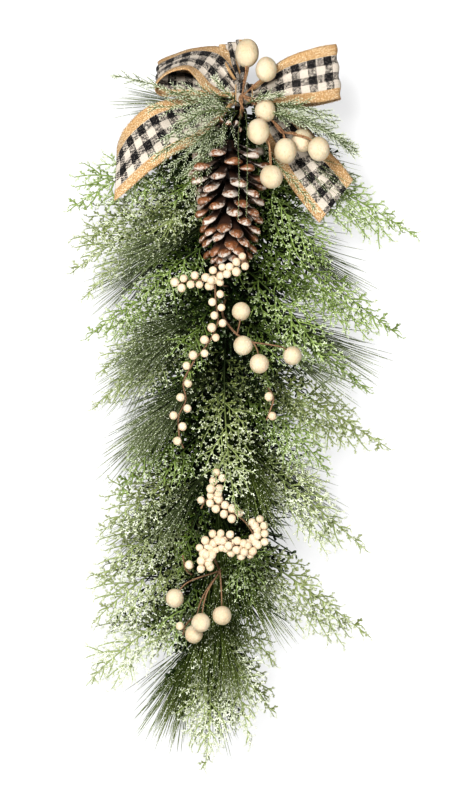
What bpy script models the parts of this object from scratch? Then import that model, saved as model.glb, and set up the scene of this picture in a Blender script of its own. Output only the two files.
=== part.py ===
"""A hanging door swag: cedar and pine sprays on a wrapped stem, with berry picks, a cone and a ribbon bow.

Metres, +Z up. X runs to the viewer's right, -Y faces the viewer and +Y is the door. The origin is the
inside top of the wire loop at the back, where the swag bears on its hook.
"""

import math
import random
from dataclasses import dataclass

import bmesh
import bpy
from mathutils import Matrix, Vector
from mathutils.bvhtree import BVHTree

MM = 0.001
TOUCH = 0.35 * MM
GOLDEN_ANGLE = math.radians(137.508)

# Main stem: a bundle of wired stems, wrapped into one rod that hangs 12 mm in front of the door
STEM_TOP_Z = -38 * MM
STEM_END_Z = -590 * MM
STEM_Y = -12 * MM
STEM_TOP_X = 8 * MM
STEM_END_X = -25 * MM
STEM_TOP_RADIUS = 5 * MM
STEM_END_RADIUS = 2.6 * MM
STEM_SEGMENTS = 11

# Hanger loop of 2 mm wire
LOOP_WIRE_RADIUS = 1.0 * MM
LOOP_INNER_WIDTH = 24 * MM
LOOP_INNER_HEIGHT = 28 * MM
LOOP_LEG_END_Z = -84 * MM
LOOP_LEG_SPREAD = 3.0 * MM

# Foliage: every spray rises forward from the stem with its distance from its root, less at the
# sides and at the hanging end, so that a spray rooted higher always lies over a lower one
FORWARD_SLOPE = 0.55
SIDE_SHARE = 0.15
SIDE_REACH = 105 * MM
TAPER_FROM_Z = -430 * MM
TAPER_TO_Z = -720 * MM
TAPER_SHARE = 0.6

# Cedar blades
BLADE_THICKNESS = 0.95 * MM
RIB_WIDTH = 2.6 * MM
FROND_SPACING = 18.5 * MM
LEAFLET_REACH = 7.5 * MM
LEAFLET_PITCH = 13 * MM
MOST_LEAFLETS = 3
SHORTER_FRONDS = (1.0, 0.75, 0.5)
SHORTEST_FROND = 11 * MM
FROND_HALF_WIDTH = 5 * MM
FROND_CLEARANCE = 2.6 * MM

# Pine needles
NEEDLE_RADIUS = 0.62 * MM
NEEDLE_CLEARANCE = 1.3 * MM
NEEDLE_SIDES = 3
NEEDLE_TRIES = 14
NEEDLE_PROBES = 28
NEAREST_DOOR_Y = 5 * MM
CORE_RADIUS = 1.3 * MM
SPRIG_NEEDLE_LENGTH = 24 * MM

# Ribbon
RIBBON_THICKNESS = 0.8 * MM
RIBBON_STEPS = 3

# Bow knot
KNOT_LOW = Vector((3, -71, -50)) * MM
KNOT_HIGH = Vector((21, -45, -22)) * MM
KNOT_GAP = 0.6
KNOT_ROUND = 5 * MM
BOW_WIRE_RADIUS = 1.2 * MM

# Pine cone, hanging tip down
CONE_BASE = Vector((-4, -70, -88)) * MM
CONE_TIP = Vector((-2, -76, -201)) * MM
CONE_CORE_RADIUS = 8 * MM
CONE_SCALES = 48
CONE_TIP_RADIUS = 3 * MM
FIRST_SCALE_LEAN = math.radians(8)
LAST_SCALE_LEAN = math.radians(66)
FIRST_SCALE_WIDTH = 15.5 * MM
LAST_SCALE_WIDTH = 9 * MM
LONGEST_SCALE = 44 * MM
SCALE_NECK_SHARE = 0.42
SCALE_TIP_THICKNESS = 4.4 * MM
SCALE_NECK_THICKNESS = 2.2 * MM
SCALE_TIP_BEVEL = 3.0 * MM
CONE_PROFILE = ((0.0, 23), (0.12, 33), (0.3, 38), (0.5, 34), (0.7, 27), (0.88, 18), (1.0, 9))

# Berries
SMALL_BERRY_RADIUS = 4.2 * MM
BERRY_STANDOFF = 3.7 * MM
TWIG_RADIUS = 0.9 * MM
SPRAY_STEM_RADIUS = 1.1 * MM
PICK_RADIUS = 1.4 * MM

SWAG = "christmas_door_swag"


@dataclass
class CedarSpray:
    """One flat cedar spray: where it leaves the stem, where its tip reaches and how wide it is, in mm."""

    name: str
    root_z: float
    tip_x: float
    tip_z: float
    width: float
    bow: float = 8


CEDAR_SPRAYS = (
    CedarSpray("cedar_left_1", -90, -165, -152, 84, 14),
    CedarSpray("cedar_left_2", -140, -162, -214, 96, 12),
    CedarSpray("cedar_left_3", -205, -147, -280, 92, 10),
    CedarSpray("cedar_left_4", -250, -136, -316, 80, 10),
    CedarSpray("cedar_left_5", -330, -114, -437, 86, 10),
    CedarSpray("cedar_left_6", -405, -133, -476, 78, 10),
    CedarSpray("cedar_left_7", -440, -132, -520, 78, 8),
    CedarSpray("cedar_left_8", -480, -140, -564, 84, 8),
    CedarSpray("cedar_left_9", -540, -146, -626, 78, 10),
    CedarSpray("cedar_end_1", -575, -27, -708, 62, -4),
    CedarSpray("cedar_end_2", -555, 18, -686, 66, -6),
    CedarSpray("cedar_right_1", -84, 186, -178, 96, -14),
    CedarSpray("cedar_right_2", -165, 170, -278, 112, -12),
    CedarSpray("cedar_right_3", -198, 92, -302, 84, -8),
    CedarSpray("cedar_right_4", -290, 159, -390, 98, -10),
    CedarSpray("cedar_right_5", -318, 98, -416, 76, -8),
    CedarSpray("cedar_right_6", -370, 136, -492, 86, -10),
    CedarSpray("cedar_right_7", -465, 139, -578, 92, -10),
    CedarSpray("cedar_right_8", -550, 45, -607, 60, -6),
    CedarSpray("cedar_right_9", -246, 138, -333, 72, -8),
    CedarSpray("cedar_front_1", -275, 6, -458, 76, 6),
    CedarSpray("cedar_front_2", -172, -92, -243, 78, 8),
    CedarSpray("cedar_front_3", -104, -112, -196, 80, 8),
    CedarSpray("cedar_front_4", -125, 98, -205, 80, -8),
    CedarSpray("cedar_front_5", -500, -60, -592, 60, 6),
    CedarSpray("cedar_front_6", -512, 4, -672, 62, -4),
    CedarSpray("cedar_front_7", -448, 22, -545, 60, -6),
    CedarSpray("cedar_front_8", -360, -72, -425, 70, 6),
)


@dataclass
class NeedleSpray:
    """A pine spray: a slim core from one point to another, and the needles that fan out from it.

    spread is how far a needle leans from its core, and flat is the share of that it keeps front to back.
    """

    name: str
    start: Vector
    end: Vector
    count: int
    length: float
    spread: float
    flat: float


def mix(a, b, t):
    return a + (b - a) * t


def smoothstep(low, high, value):
    t = min(1.0, max(0.0, (value - low) / (high - low)))
    return t * t * (3 - 2 * t)


def stem_share(z):
    return min(1.0, max(0.0, (z - STEM_TOP_Z) / (STEM_END_Z - STEM_TOP_Z)))


def stem_x(z):
    return mix(STEM_TOP_X, STEM_END_X, stem_share(z))


def stem_radius(z):
    return mix(STEM_TOP_RADIUS, STEM_END_RADIUS, stem_share(z))


def fullness(x, z):
    """The share of its forward rise that foliage keeps at a point: least at the sides and at the end."""
    side = (x - stem_x(z)) / SIDE_REACH
    across = SIDE_SHARE + (1 - SIDE_SHARE) * math.exp(-side * side)
    return across * (1 - TAPER_SHARE * smoothstep(TAPER_FROM_Z, TAPER_TO_Z, z))


def foliage_y(x, z, root_z):
    """The depth of the back of a spray rooted on the stem at root_z, at a point of the front view."""
    reach = max(0.0, math.hypot(x - stem_x(root_z), z - root_z) - RIB_WIDTH / 2)
    front = STEM_Y - stem_radius(root_z) - TOUCH
    return front - FORWARD_SLOPE * reach * fullness(x, z)


def material(name, colour, roughness, metallic=0.0):
    made = bpy.data.materials.new(name)
    made.use_nodes = True
    shader = made.node_tree.nodes["Principled BSDF"]
    shader.inputs["Base Color"].default_value = (*colour, 1.0)
    shader.inputs["Roughness"].default_value = roughness
    shader.inputs["Metallic"].default_value = metallic
    made.diffuse_color = (*colour, 1.0)
    return made


def new_object(name, data, finish, collection):
    made = bpy.data.objects.new(name, data)
    if finish:
        made.data.materials.append(finish)
    collection.objects.link(made)
    return made


def wire_curve(name, points, radius, bevel_resolution=1, taper=None):
    """A round wire through the points. taper gives each point's share of the radius."""
    curve = bpy.data.curves.new(name, "CURVE")
    curve.dimensions = "3D"
    curve.bevel_depth = radius
    curve.bevel_resolution = bevel_resolution
    curve.use_fill_caps = True
    spline = curve.splines.new("POLY")
    spline.points.add(len(points) - 1)
    for index, (point, place) in enumerate(zip(spline.points, points)):
        point.co = (*place, 1.0)
        point.radius = taper[index] if taper else 1.0
    return curve


def as_mesh(obj):
    """The object replaced by a welded mesh of what its curve or modifiers make."""
    bpy.context.view_layer.update()
    evaluated = obj.evaluated_get(bpy.context.evaluated_depsgraph_get())
    mesh = bpy.data.meshes.new_from_object(evaluated)
    shape = bmesh.new()
    shape.from_mesh(mesh)
    bmesh.ops.remove_doubles(shape, verts=shape.verts, dist=0.002 * MM)
    bmesh.ops.recalc_face_normals(shape, faces=shape.faces)
    shape.to_mesh(mesh)
    shape.free()
    name, place, homes = obj.name, obj.matrix_world.copy(), list(obj.users_collection)
    bpy.data.objects.remove(obj)
    made = bpy.data.objects.new(name, mesh)
    made.matrix_world = place
    for home in homes:
        home.objects.link(made)
    return made


def mesh_from(shape, name):
    mesh = bpy.data.meshes.new(name)
    shape.to_mesh(mesh)
    shape.free()
    return mesh


def largest_body(mesh):
    """Drops from a mesh every loose scrap beside its largest body."""
    shape = bmesh.new()
    shape.from_mesh(mesh)
    left = set(shape.verts)
    bodies = []
    while left:
        front = [left.pop()]
        body = list(front)
        while front:
            reached = {edge.other_vert(vertex) for vertex in front for edge in vertex.link_edges} & left
            left -= reached
            front = list(reached)
            body += front
        bodies.append(body)
    bodies.sort(key=len)
    for scrap in bodies[:-1]:
        bmesh.ops.delete(shape, geom=scrap, context="VERTS")
    shape.to_mesh(mesh)
    shape.free()


def fused(core, pieces):
    """The core with every piece of the collection joined to it, as one mesh."""
    join = core.modifiers.new("join", "BOOLEAN")
    join.operation = "UNION"
    join.operand_type = "COLLECTION"
    join.collection = pieces
    join.solver = "MANIFOLD"
    finish = core.data.materials[0] if core.data.materials else None
    made = as_mesh(core)
    largest_body(made.data)
    for piece in list(pieces.objects):
        bpy.data.objects.remove(piece)
    made.data.materials.clear()
    if finish:
        made.data.materials.append(finish)
    return made


def smooth_path(points, steps):
    """A curve through the points, as vectors, with a number of steps between each two."""
    points = [Vector(point) for point in points]
    path = []
    for index in range(len(points) - 1):
        before = points[max(index - 1, 0)]
        start, end = points[index], points[index + 1]
        after = points[min(index + 2, len(points) - 1)]
        for step in range(steps):
            t = step / steps
            path.append(
                0.5
                * (
                    2 * start
                    + (end - before) * t
                    + (2 * before - 5 * start + 4 * end - after) * t**2
                    + (3 * start - before - 3 * end + after) * t**3
                )
            )
    return path + [points[-1]]


class Swag:
    """The scene's collections, finishes and the solids already placed, which later ones stay clear of."""

    def __init__(self):
        self.parts = bpy.data.collections.new(SWAG)
        self.pieces = bpy.data.collections.new("pieces_to_join")
        for collection in (self.parts, self.pieces):
            bpy.context.scene.collection.children.link(collection)
        self.placed = []
        self.stem_brown = material("stem_brown", (0.16, 0.09, 0.05), 0.75)
        self.hanger_steel = material("hanger_steel", (0.10, 0.12, 0.09), 0.4, 0.9)
        self.cedar_green = material("cedar_green", (0.14, 0.24, 0.08), 0.65)
        self.needle_green = material("needle_green", (0.16, 0.22, 0.14), 0.6)
        self.cone_brown = material("cone_brown", (0.22, 0.10, 0.05), 0.7)
        self.berry_cream = material("berry_cream", (0.86, 0.78, 0.60), 0.8)
        self.ribbon_check = material("ribbon_check", (0.45, 0.36, 0.26), 0.85)

    def keep(self, obj):
        """Adds a finished solid to those that later ones stay clear of."""
        shape = bmesh.new()
        evaluated = obj.evaluated_get(bpy.context.evaluated_depsgraph_get())
        shape.from_mesh(evaluated.to_mesh())
        shape.transform(obj.matrix_world)
        self.placed.append(BVHTree.FromBMesh(shape))
        shape.free()
        evaluated.to_mesh_clear()
        return obj

    def clear_of_placed(self, points, distance):
        """Whether every point is further than the distance from all the solids already placed."""
        return all(
            tree.find_nearest(point, distance)[0] is None for tree in self.placed for point in points
        )

    def part(self, name, data, finish):
        return new_object(name, data, finish, self.parts)

    def piece(self, mesh):
        return new_object("piece", mesh, None, self.pieces)


def build_stem(swag):
    heights = [mix(STEM_TOP_Z, STEM_END_Z, index / STEM_SEGMENTS) for index in range(STEM_SEGMENTS + 1)]
    points = [(stem_x(z), STEM_Y, z) for z in heights]
    taper = [stem_radius(z) / STEM_TOP_RADIUS for z in heights]
    curve = wire_curve("main_stem", points, STEM_TOP_RADIUS, 2, taper)
    swag.keep(swag.part("main_stem", curve, swag.stem_brown))


def build_hanger(swag):
    """A wire loop whose two legs lie along the back of the stem."""
    half = LOOP_INNER_WIDTH / 2 + LOOP_WIRE_RADIUS
    top = LOOP_WIRE_RADIUS
    leg_y = STEM_Y + STEM_TOP_RADIUS + LOOP_WIRE_RADIUS + TOUCH
    leg_x = stem_x(LOOP_LEG_END_Z)
    arc_height = half
    neck_z = -LOOP_INNER_HEIGHT - 6 * MM
    right = [
        Vector((half * math.sin(angle), 0, top - arc_height + arc_height * math.cos(angle)))
        for angle in (math.radians(18 * step) for step in range(6))
    ]
    right += [
        Vector((half * 0.72, leg_y * 0.3, -LOOP_INNER_HEIGHT * 0.78)),
        Vector((leg_x + LOOP_LEG_SPREAD * 0.8, leg_y, neck_z)),
        Vector((leg_x + LOOP_LEG_SPREAD / 2, leg_y, neck_z - 12 * MM)),
        Vector((leg_x + LOOP_LEG_SPREAD / 2, leg_y, LOOP_LEG_END_Z)),
    ]
    left = [Vector((-point.x, point.y, point.z)) for point in right[1:7]]
    left += [
        Vector((leg_x - LOOP_LEG_SPREAD * 0.8, leg_y, neck_z)),
        Vector((leg_x - LOOP_LEG_SPREAD / 2, leg_y, neck_z - 12 * MM)),
        Vector((leg_x - LOOP_LEG_SPREAD / 2, leg_y, LOOP_LEG_END_Z)),
    ]
    curve = wire_curve("hanger_loop", left[::-1] + right, LOOP_WIRE_RADIUS, 1)
    swag.keep(swag.part("hanger_loop", curve, swag.hanger_steel))


def ribbon(swag, name, stations):
    """A strip of ribbon along its stations: centre in mm, direction across it, and gathered width in mm."""
    centres = smooth_path([Vector(centre) * MM for centre, _, _ in stations], RIBBON_STEPS)
    acrosses = smooth_path([Vector(across).normalized() for _, across, _ in stations], RIBBON_STEPS)
    widths = smooth_path([Vector((width * MM, 0, 0)) for _, _, width in stations], RIBBON_STEPS)
    shape = bmesh.new()
    rows = []
    for centre, across, width in zip(centres, acrosses, widths):
        half = across.normalized() * width.x / 2
        rows.append((shape.verts.new(centre - half), shape.verts.new(centre + half)))
    for (a, b), (c, d) in zip(rows, rows[1:]):
        shape.faces.new((a, b, d))
        shape.faces.new((a, d, c))
    obj = swag.part(name, mesh_from(shape, name), swag.ribbon_check)
    wall = obj.modifiers.new("thickness", "SOLIDIFY")
    wall.thickness = RIBBON_THICKNESS
    wall.offset = 0.0
    bpy.context.view_layer.update()
    swag.keep(obj)


def build_bow(swag):
    knot_middle = (KNOT_LOW + KNOT_HIGH) / 2
    shape = bmesh.new()
    bmesh.ops.create_cube(shape, size=1.0)
    size = KNOT_HIGH - KNOT_LOW
    bmesh.ops.transform(
        shape, matrix=Matrix.Translation(knot_middle) @ Matrix.Diagonal((*size, 1.0)), verts=shape.verts
    )
    knot = swag.part("bow_knot", mesh_from(shape, "bow_knot"), swag.ribbon_check)
    round_over = knot.modifiers.new("rounded", "BEVEL")
    round_over.width = KNOT_ROUND
    round_over.segments = 2
    bpy.context.view_layer.update()
    swag.keep(knot)

    left_x = KNOT_LOW.x / MM - KNOT_GAP
    right_x = KNOT_HIGH.x / MM + KNOT_GAP
    ribbon(
        swag,
        "bow_loop_left",
        (
            ((left_x, -58, -29), (0, 1, 0.1), 16),
            ((-10, -56, -16), (-0.1, 0.85, 0.5), 36),
            ((-29, -48, -2), (-0.1, 0.75, 0.65), 54),
            ((-53, -46, -3), (0, 0.9, 0.42), 54),
            ((-71, -46, -10), (0, 0.95, 0.3), 54),
            ((-75.5, -46, -17), (0, 0.95, 0.3), 54),
            ((-68, -46, -24), (0, 0.95, 0.25), 54),
            ((-42, -48, -29), (0, 1, 0.15), 50),
            ((-16, -54, -33), (0, 1, 0.1), 30),
            ((left_x, -58, -36), (0, 1, 0), 16),
        ),
    )
    ribbon(
        swag,
        "bow_loop_right",
        (
            ((right_x, -65, -36), (0, 0, 1), 16),
            ((36, -72, -31), (-0.05, 0, 1), 34),
            ((56, -75, -23), (-0.1, 0, 1), 46),
            ((84, -74, -17), (-0.1, 0, 1), 54),
            ((103, -68, -13), (-0.1, 0, 1), 54),
            ((106, -60, -13), (-0.1, 0, 1), 54),
            ((100, -50, -15), (-0.1, 0, 1), 54),
            ((74, -44, -22), (-0.1, 0, 1), 50),
            ((44, -45, -31), (0, 0, 1), 34),
            ((right_x, -51, -37), (0, 0, 1), 16),
        ),
    )
    ribbon(
        swag,
        "bow_tail_left",
        (
            ((left_x, -58, -42), (0, 1, 0.15), 16),
            ((-16, -57, -48), (-0.3, 0.5, 0.8), 30),
            ((-42, -58, -60), (-0.4, 0.1, 0.9), 48),
            ((-70, -60, -71), (-0.45, 0.05, 0.88), 54),
            ((-97, -58, -92), (-0.3, 0.15, 0.93), 54),
            ((-116, -52, -115), (0.05, 0.3, 0.95), 56),
        ),
    )
    ribbon(
        swag,
        "bow_tail_right",
        (
            ((right_x, -58, -40), (0, 0, 1), 14),
            ((36, -59, -53), (0.7, 0, 0.7), 28),
            ((54, -60, -76), (0.85, 0.1, 0.5), 42),
            ((72, -60, -102), (0.85, 0.1, 0.5), 50),
            ((88, -59, -122), (0.75, 0, 0.66), 54),
            ((104, -57, -142), (0.62, 0, 0.78), 54),
        ),
    )
    ribbon(
        swag,
        "bow_top_end",
        (
            ((8, -56, KNOT_HIGH.z / MM + 0.75), (1, 0.2, 0), 10),
            ((5, -50, -8), (1, 0.2, 0), 18),
            ((2, -44, 8), (1, 0.3, -0.1), 22),
            ((-1, -40, 20), (1, 0.4, -0.2), 22),
        ),
    )
    wire_z = STEM_TOP_Z - 7 * MM
    front = STEM_Y - stem_radius(wire_z) - TOUCH
    curve = wire_curve(
        "bow_wire",
        [(stem_x(wire_z), KNOT_HIGH.y + TOUCH, wire_z), (stem_x(wire_z), front, wire_z)],
        BOW_WIRE_RADIUS,
    )
    swag.keep(swag.part("bow_wire", curve, swag.hanger_steel))


def cone_radius(share):
    """How far the scales stand out from the cone's axis, from its base to its tip."""
    for (low, near), (high, far) in zip(CONE_PROFILE, CONE_PROFILE[1:]):
        if share <= high:
            return mix(near, far, (share - low) / (high - low)) * MM
    return CONE_PROFILE[-1][1] * MM


def build_cone(swag):
    """Open woody scales in a spiral round a slim core; they turn from square out to nearly along it."""
    axis = (CONE_TIP - CONE_BASE).normalized()
    length = (CONE_TIP - CONE_BASE).length
    turn = axis.to_track_quat("Z", "Y").to_matrix().to_4x4()
    place = Matrix.Translation(CONE_BASE) @ turn
    shape = bmesh.new()
    bmesh.ops.create_cone(
        shape, cap_ends=True, segments=9, radius1=CONE_CORE_RADIUS, radius2=CONE_TIP_RADIUS, depth=length
    )
    bmesh.ops.transform(shape, matrix=place @ Matrix.Translation((0, 0, length / 2)), verts=shape.verts)
    core = swag.part("pine_cone", mesh_from(shape, "pine_cone"), swag.cone_brown)
    for index in range(CONE_SCALES):
        share = ((index + 0.5) / CONE_SCALES) ** 0.9
        lean = mix(FIRST_SCALE_LEAN, LAST_SCALE_LEAN, share**1.2)
        reach = cone_radius(share) / math.cos(lean) if share < 0.8 else cone_radius(share) * 1.9
        reach = min(reach, LONGEST_SCALE)
        along = share * (length - 6 * MM) + 4 * MM - reach * math.sin(lean) * 0.35
        scale_width = mix(FIRST_SCALE_WIDTH, LAST_SCALE_WIDTH, share)
        scale = bmesh.new()
        bmesh.ops.create_cube(scale, size=1.0)
        for vertex in scale.verts:
            outer = vertex.co.x > 0
            vertex.co.x = reach if outer else 0.0
            vertex.co.y *= scale_width if outer else scale_width * SCALE_NECK_SHARE
            vertex.co.z *= SCALE_TIP_THICKNESS if outer else SCALE_NECK_THICKNESS
            if outer and vertex.co.z > 0:
                vertex.co.x -= SCALE_TIP_BEVEL
        bmesh.ops.transform(
            scale,
            matrix=place
            @ Matrix.Translation((0, 0, along))
            @ Matrix.Rotation(index * GOLDEN_ANGLE, 4, "Z")
            @ Matrix.Rotation(-lean, 4, "Y"),
            verts=scale.verts,
        )
        swag.piece(mesh_from(scale, "scale"))
    swag.keep(fused(core, swag.pieces))
    start = CONE_BASE - axis * TOUCH
    wire_z = -66 * MM
    front = STEM_Y - stem_radius(wire_z) - TOUCH
    points = smooth_path(
        (
            start,
            start + Vector((1, 3, 10)) * MM,
            Vector((2, -50, -69)) * MM,
            Vector((6, -30, -66)) * MM,
            (stem_x(wire_z), front, wire_z),
        ),
        3,
    )
    swag.keep(swag.part("cone_wire", wire_curve("cone_wire", points, 1.1 * MM), swag.hanger_steel))


def berry(swag, centre, radius, stretch=1.0, fine=True):
    shape = bmesh.new()
    bmesh.ops.create_icosphere(shape, subdivisions=2 if fine else 1, radius=radius)
    bmesh.ops.transform(
        shape, matrix=Matrix.Translation(centre) @ Matrix.Diagonal((1, 1, stretch, 1)), verts=shape.verts
    )
    return swag.piece(mesh_from(shape, "berry"))


def twig(swag, points, steps):
    """A thin stem through the points, given in metres, as a piece to be joined."""
    curve = wire_curve("twig", smooth_path(points, steps), TWIG_RADIUS, 0)
    return as_mesh(new_object("twig", curve, None, swag.pieces))


def stem_front(z):
    return Vector((stem_x(z), STEM_Y - stem_radius(z) - TOUCH, z))


def build_large_pick(swag, name, root, hub_path, berries):
    """A pick of large berries: each has its centre in mm, its radius, its stretch and its hub's index."""
    hubs = [Vector(point) * MM for point in hub_path]
    path = smooth_path([root] + hubs, 2)
    core = new_object(name, wire_curve(name, path, PICK_RADIUS, 0), swag.berry_cream, swag.parts)
    core = as_mesh(core)
    core.data.materials.clear()
    core.data.materials.append(swag.berry_cream)
    for centre, size, stretch, hub in berries:
        centre = Vector(centre) * MM
        start = hubs[hub]
        middle = (start + centre) / 2 + Vector((0, -3, 2)) * MM
        twig(swag, (start, middle, centre), 1)
        berry(swag, centre, size * MM, stretch)
    swag.keep(fused(core, swag.pieces))


def build_large_picks(swag):
    build_large_pick(
        swag,
        "berry_pick_top",
        stem_front(-56 * MM),
        ((8, -34, -57), (9, -62, -57), (10, -77, -50), (10, -79, -38), (30, -84, -52), (50, -84, -74)),
        (
            ((15, -74, 5), 11.8, 1.22, 3),
            ((34, -85, -12), 10.6, 1.18, 3),
            ((33, -87, -53), 10.4, 1.1, 3),
            ((26, -96, -74), 11.2, 1.16, 4),
            ((53, -90, -93), 11.2, 1.14, 5),
            ((70, -77, -82), 10.8, 1.08, 5),
            ((86, -91, -91), 11.0, 1.1, 5),
            ((39, -99, -119), 11.6, 1.02, 4),
        ),
    )
    build_large_pick(
        swag,
        "berry_pick_middle",
        stem_front(-236 * MM),
        ((-6, -36, -238), (-9, -72, -256), (5, -88, -275), (21, -94, -283)),
        (
            ((9, -84, -252), 9.3, 1.0, 2),
            ((11, -92, -286), 9.8, 1.0, 2),
            ((27, -98, -304), 9.7, 1.0, 3),
            ((60, -92, -296), 9.2, 1.04, 3),
        ),
    )
    build_large_pick(
        swag,
        "berry_pick_low",
        stem_front(-496 * MM),
        ((-18, -36, -498), (-12, -68, -510)),
        (
            ((-57, -76, -537), 9.1, 1.06, 1),
            ((-31, -84, -561), 9.5, 1.0, 1),
            ((-38, -68, -573), 9.2, 1.0, 1),
            ((-10, -80, -554), 9.6, 1.0, 1),
        ),
    )


def build_berry_spray(swag, name, root, stalks, seed):
    """A spray of small berries: stalks in mm, each with how many berries it bears, set alternately."""
    draw = random.Random(seed)
    core = None
    for points, count in stalks:
        path = smooth_path([Vector(point) * MM for point in points], 2)
        if core is None:
            path = [root] + path
            core = new_object(name, wire_curve(name, path, SPRAY_STEM_RADIUS, 0), None, swag.parts)
            core = as_mesh(core)
            core.data.materials.append(swag.berry_cream)
        else:
            twig(swag, [Vector(point) * MM for point in points], 2)
        for index in range(count):
            place = (index + 0.6) / count * (len(path) - 1)
            low = min(int(place), len(path) - 2)
            on_stalk = path[low].lerp(path[low + 1], place - low)
            along = (path[low + 1] - path[low]).normalized()
            out = along.cross(Vector((0, 1, 0))).normalized() * (1 if index % 2 else -1)
            out += Vector((0, draw.uniform(-0.9, -0.1), draw.uniform(-0.2, 0.2)))
            centre = on_stalk + out.normalized() * BERRY_STANDOFF
            berry(swag, centre, SMALL_BERRY_RADIUS * draw.uniform(0.92, 1.06), 1.0, False)
    swag.keep(fused(core, swag.pieces))


def build_berry_sprays(swag):
    build_berry_spray(
        swag,
        "berry_spray_upper",
        stem_front(-226 * MM),
        (
            (((-10, -60, -226), (-17, -92, -225)), 0),
            (((-17, -92, -225), (-14, -98, -214), (0, -101, -211), (14, -101, -200)), 6),
            (((-17, -92, -225), (-36, -92, -221), (-57, -88, -226)), 5),
            (((-17, -92, -225), (-16, -92, -244), (-14, -90, -262), (-22, -88, -281), (-37, -86, -300)), 5),
            (((-37, -86, -300), (-48, -84, -322), (-46, -82, -340), (-53, -78, -356), (-53, -76, -370)), 4),
        ),
        11,
    )
    build_berry_spray(
        swag,
        "berry_spray_low",
        stem_front(-428 * MM),
        (
            (((-14, -52, -430), (-16, -80, -436)), 0),
            (((-16, -80, -436), (-10, -84, -420)), 3),
            (((-16, -80, -436), (-2, -84, -449), (12, -86, -461), (24, -86, -476)), 6),
            (((24, -86, -476), (20, -88, -486), (4, -88, -482), (-10, -86, -484), (-25, -84, -498)), 8),
        ),
        12,
    )


def rib_point(root, tip, bow, share):
    """A point of a spray's arched rib, in the front view."""
    along = tip - root
    side = Vector((-along.y, along.x)).normalized()
    return root + along * share - side * bow * 4 * share * (1 - share)


def frond_outline(base, direction, length, rootward):
    """The outline of one side frond: out past its root-side leaflets, round its tip and back."""
    half = RIB_WIDTH * 0.42
    leaflets = max(2, min(MOST_LEAFLETS, round(length / LEAFLET_PITCH)))
    near, far = [], []
    for index in range(leaflets):
        foot = length * (index + 0.35) / (leaflets + 0.45)
        reach = LEAFLET_REACH * (1.0 - 0.3 * index / leaflets)
        side, edge = (rootward, near) if index % 2 == 0 else (-rootward, far)
        edge += [
            base + direction * (foot + reach) + side * reach,
            base + direction * (foot + reach * 0.55) + side * half,
        ]
    return near + [base + direction * length] + far[::-1]


def spray_sides(spray):
    """Where each side frond of a spray leaves its rib, its direction and its length, root to tip."""
    draw = random.Random(spray.name)
    root = Vector((stem_x(spray.root_z * MM), spray.root_z * MM))
    tip = Vector((spray.tip_x, spray.tip_z)) * MM
    length = (tip - root).length
    count = max(5, round((length * 0.83) / FROND_SPACING))
    sides = []
    for index in range(count):
        share = 0.13 + 0.83 * (index + draw.uniform(-0.12, 0.12)) / count
        here = rib_point(root, tip, spray.bow * MM, share)
        ahead = rib_point(root, tip, spray.bow * MM, share + 0.02)
        along = (ahead - here).normalized()
        side = 1 if index % 2 else -1
        angle = math.radians(mix(56, 34, share)) + draw.uniform(-0.08, 0.08)
        direction = Vector(
            (
                along.x * math.cos(angle) - side * along.y * math.sin(angle),
                along.y * math.cos(angle) + side * along.x * math.sin(angle),
            )
        )
        full = math.sin(math.pi * min(1.0, share * 1.15 + 0.12)) ** 0.6
        reach = spray.width * MM / 2 / math.sin(angle) * full * draw.uniform(0.86, 1.08)
        sides.append((share, here, along, direction, max(reach, SHORTEST_FROND), side))
    return root, tip, sides


def frond_is_clear(swag, spray, base, direction, length):
    steps = max(3, int(length / FROND_HALF_WIDTH))
    points = []
    for step in range(1, steps + 1):
        for offset in (-FROND_HALF_WIDTH, 0, FROND_HALF_WIDTH):
            flat = base + direction * length * step / steps
            flat += Vector((-direction.y, direction.x)) * offset
            y = foliage_y(flat.x, flat.y, spray.root_z * MM) - BLADE_THICKNESS / 2
            points.append(Vector((flat.x, y, flat.y)))
    return swag.clear_of_placed(points, FROND_CLEARANCE)


def build_cedar(swag, spray):
    """One spray as a flat outline with its leaflets cut to the ribs, bent forward by its reach."""
    root, tip, sides = spray_sides(spray)
    half = RIB_WIDTH / 2
    rib_side = Vector((-(tip - root).y, (tip - root).x)).normalized()
    shape = bmesh.new()

    def corner(flat):
        return shape.verts.new((flat.x, 0, flat.y))

    edges = {side: [corner(root + rib_side * half * side)] for side in (-1, 1)}
    fronds = []
    for share, base, along, direction, length, side in sides:
        fit = next(
            (cut for cut in SHORTER_FRONDS if frond_is_clear(swag, spray, base, direction, length * cut)), 0
        )
        here = half * (1 - 0.6 * share)
        out = Vector((-along.y, along.x)) * side
        edges[-side].append(corner(base - out * here))
        back = corner(base - along * half * 1.3 + out * here)
        ahead = corner(base + along * half * 1.1 + out * here)
        edges[side] += [back, ahead]
        if fit:
            rootward = Vector((-direction.y, direction.x)) * side
            outline = frond_outline(base, direction, length * fit, rootward)
            fronds.append([back] + [corner(point) for point in outline] + [ahead])
    shape.faces.new(edges[-1] + [corner(tip)] + edges[1][::-1])
    for frond in fronds:
        shape.faces.new(frond)
    bmesh.ops.recalc_face_normals(shape, faces=shape.faces)
    bmesh.ops.triangulate(shape, faces=shape.faces[:])
    grown = bmesh.ops.extrude_face_region(shape, geom=shape.faces[:])
    front = [item for item in grown["geom"] if isinstance(item, bmesh.types.BMVert)]
    bmesh.ops.translate(shape, vec=(0, -BLADE_THICKNESS, 0), verts=front)
    for vertex in shape.verts:
        vertex.co.y += foliage_y(vertex.co.x, vertex.co.z, spray.root_z * MM)
    bmesh.ops.recalc_face_normals(shape, faces=shape.faces)
    swag.keep(swag.part(spray.name, mesh_from(shape, spray.name), swag.cedar_green))


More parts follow.
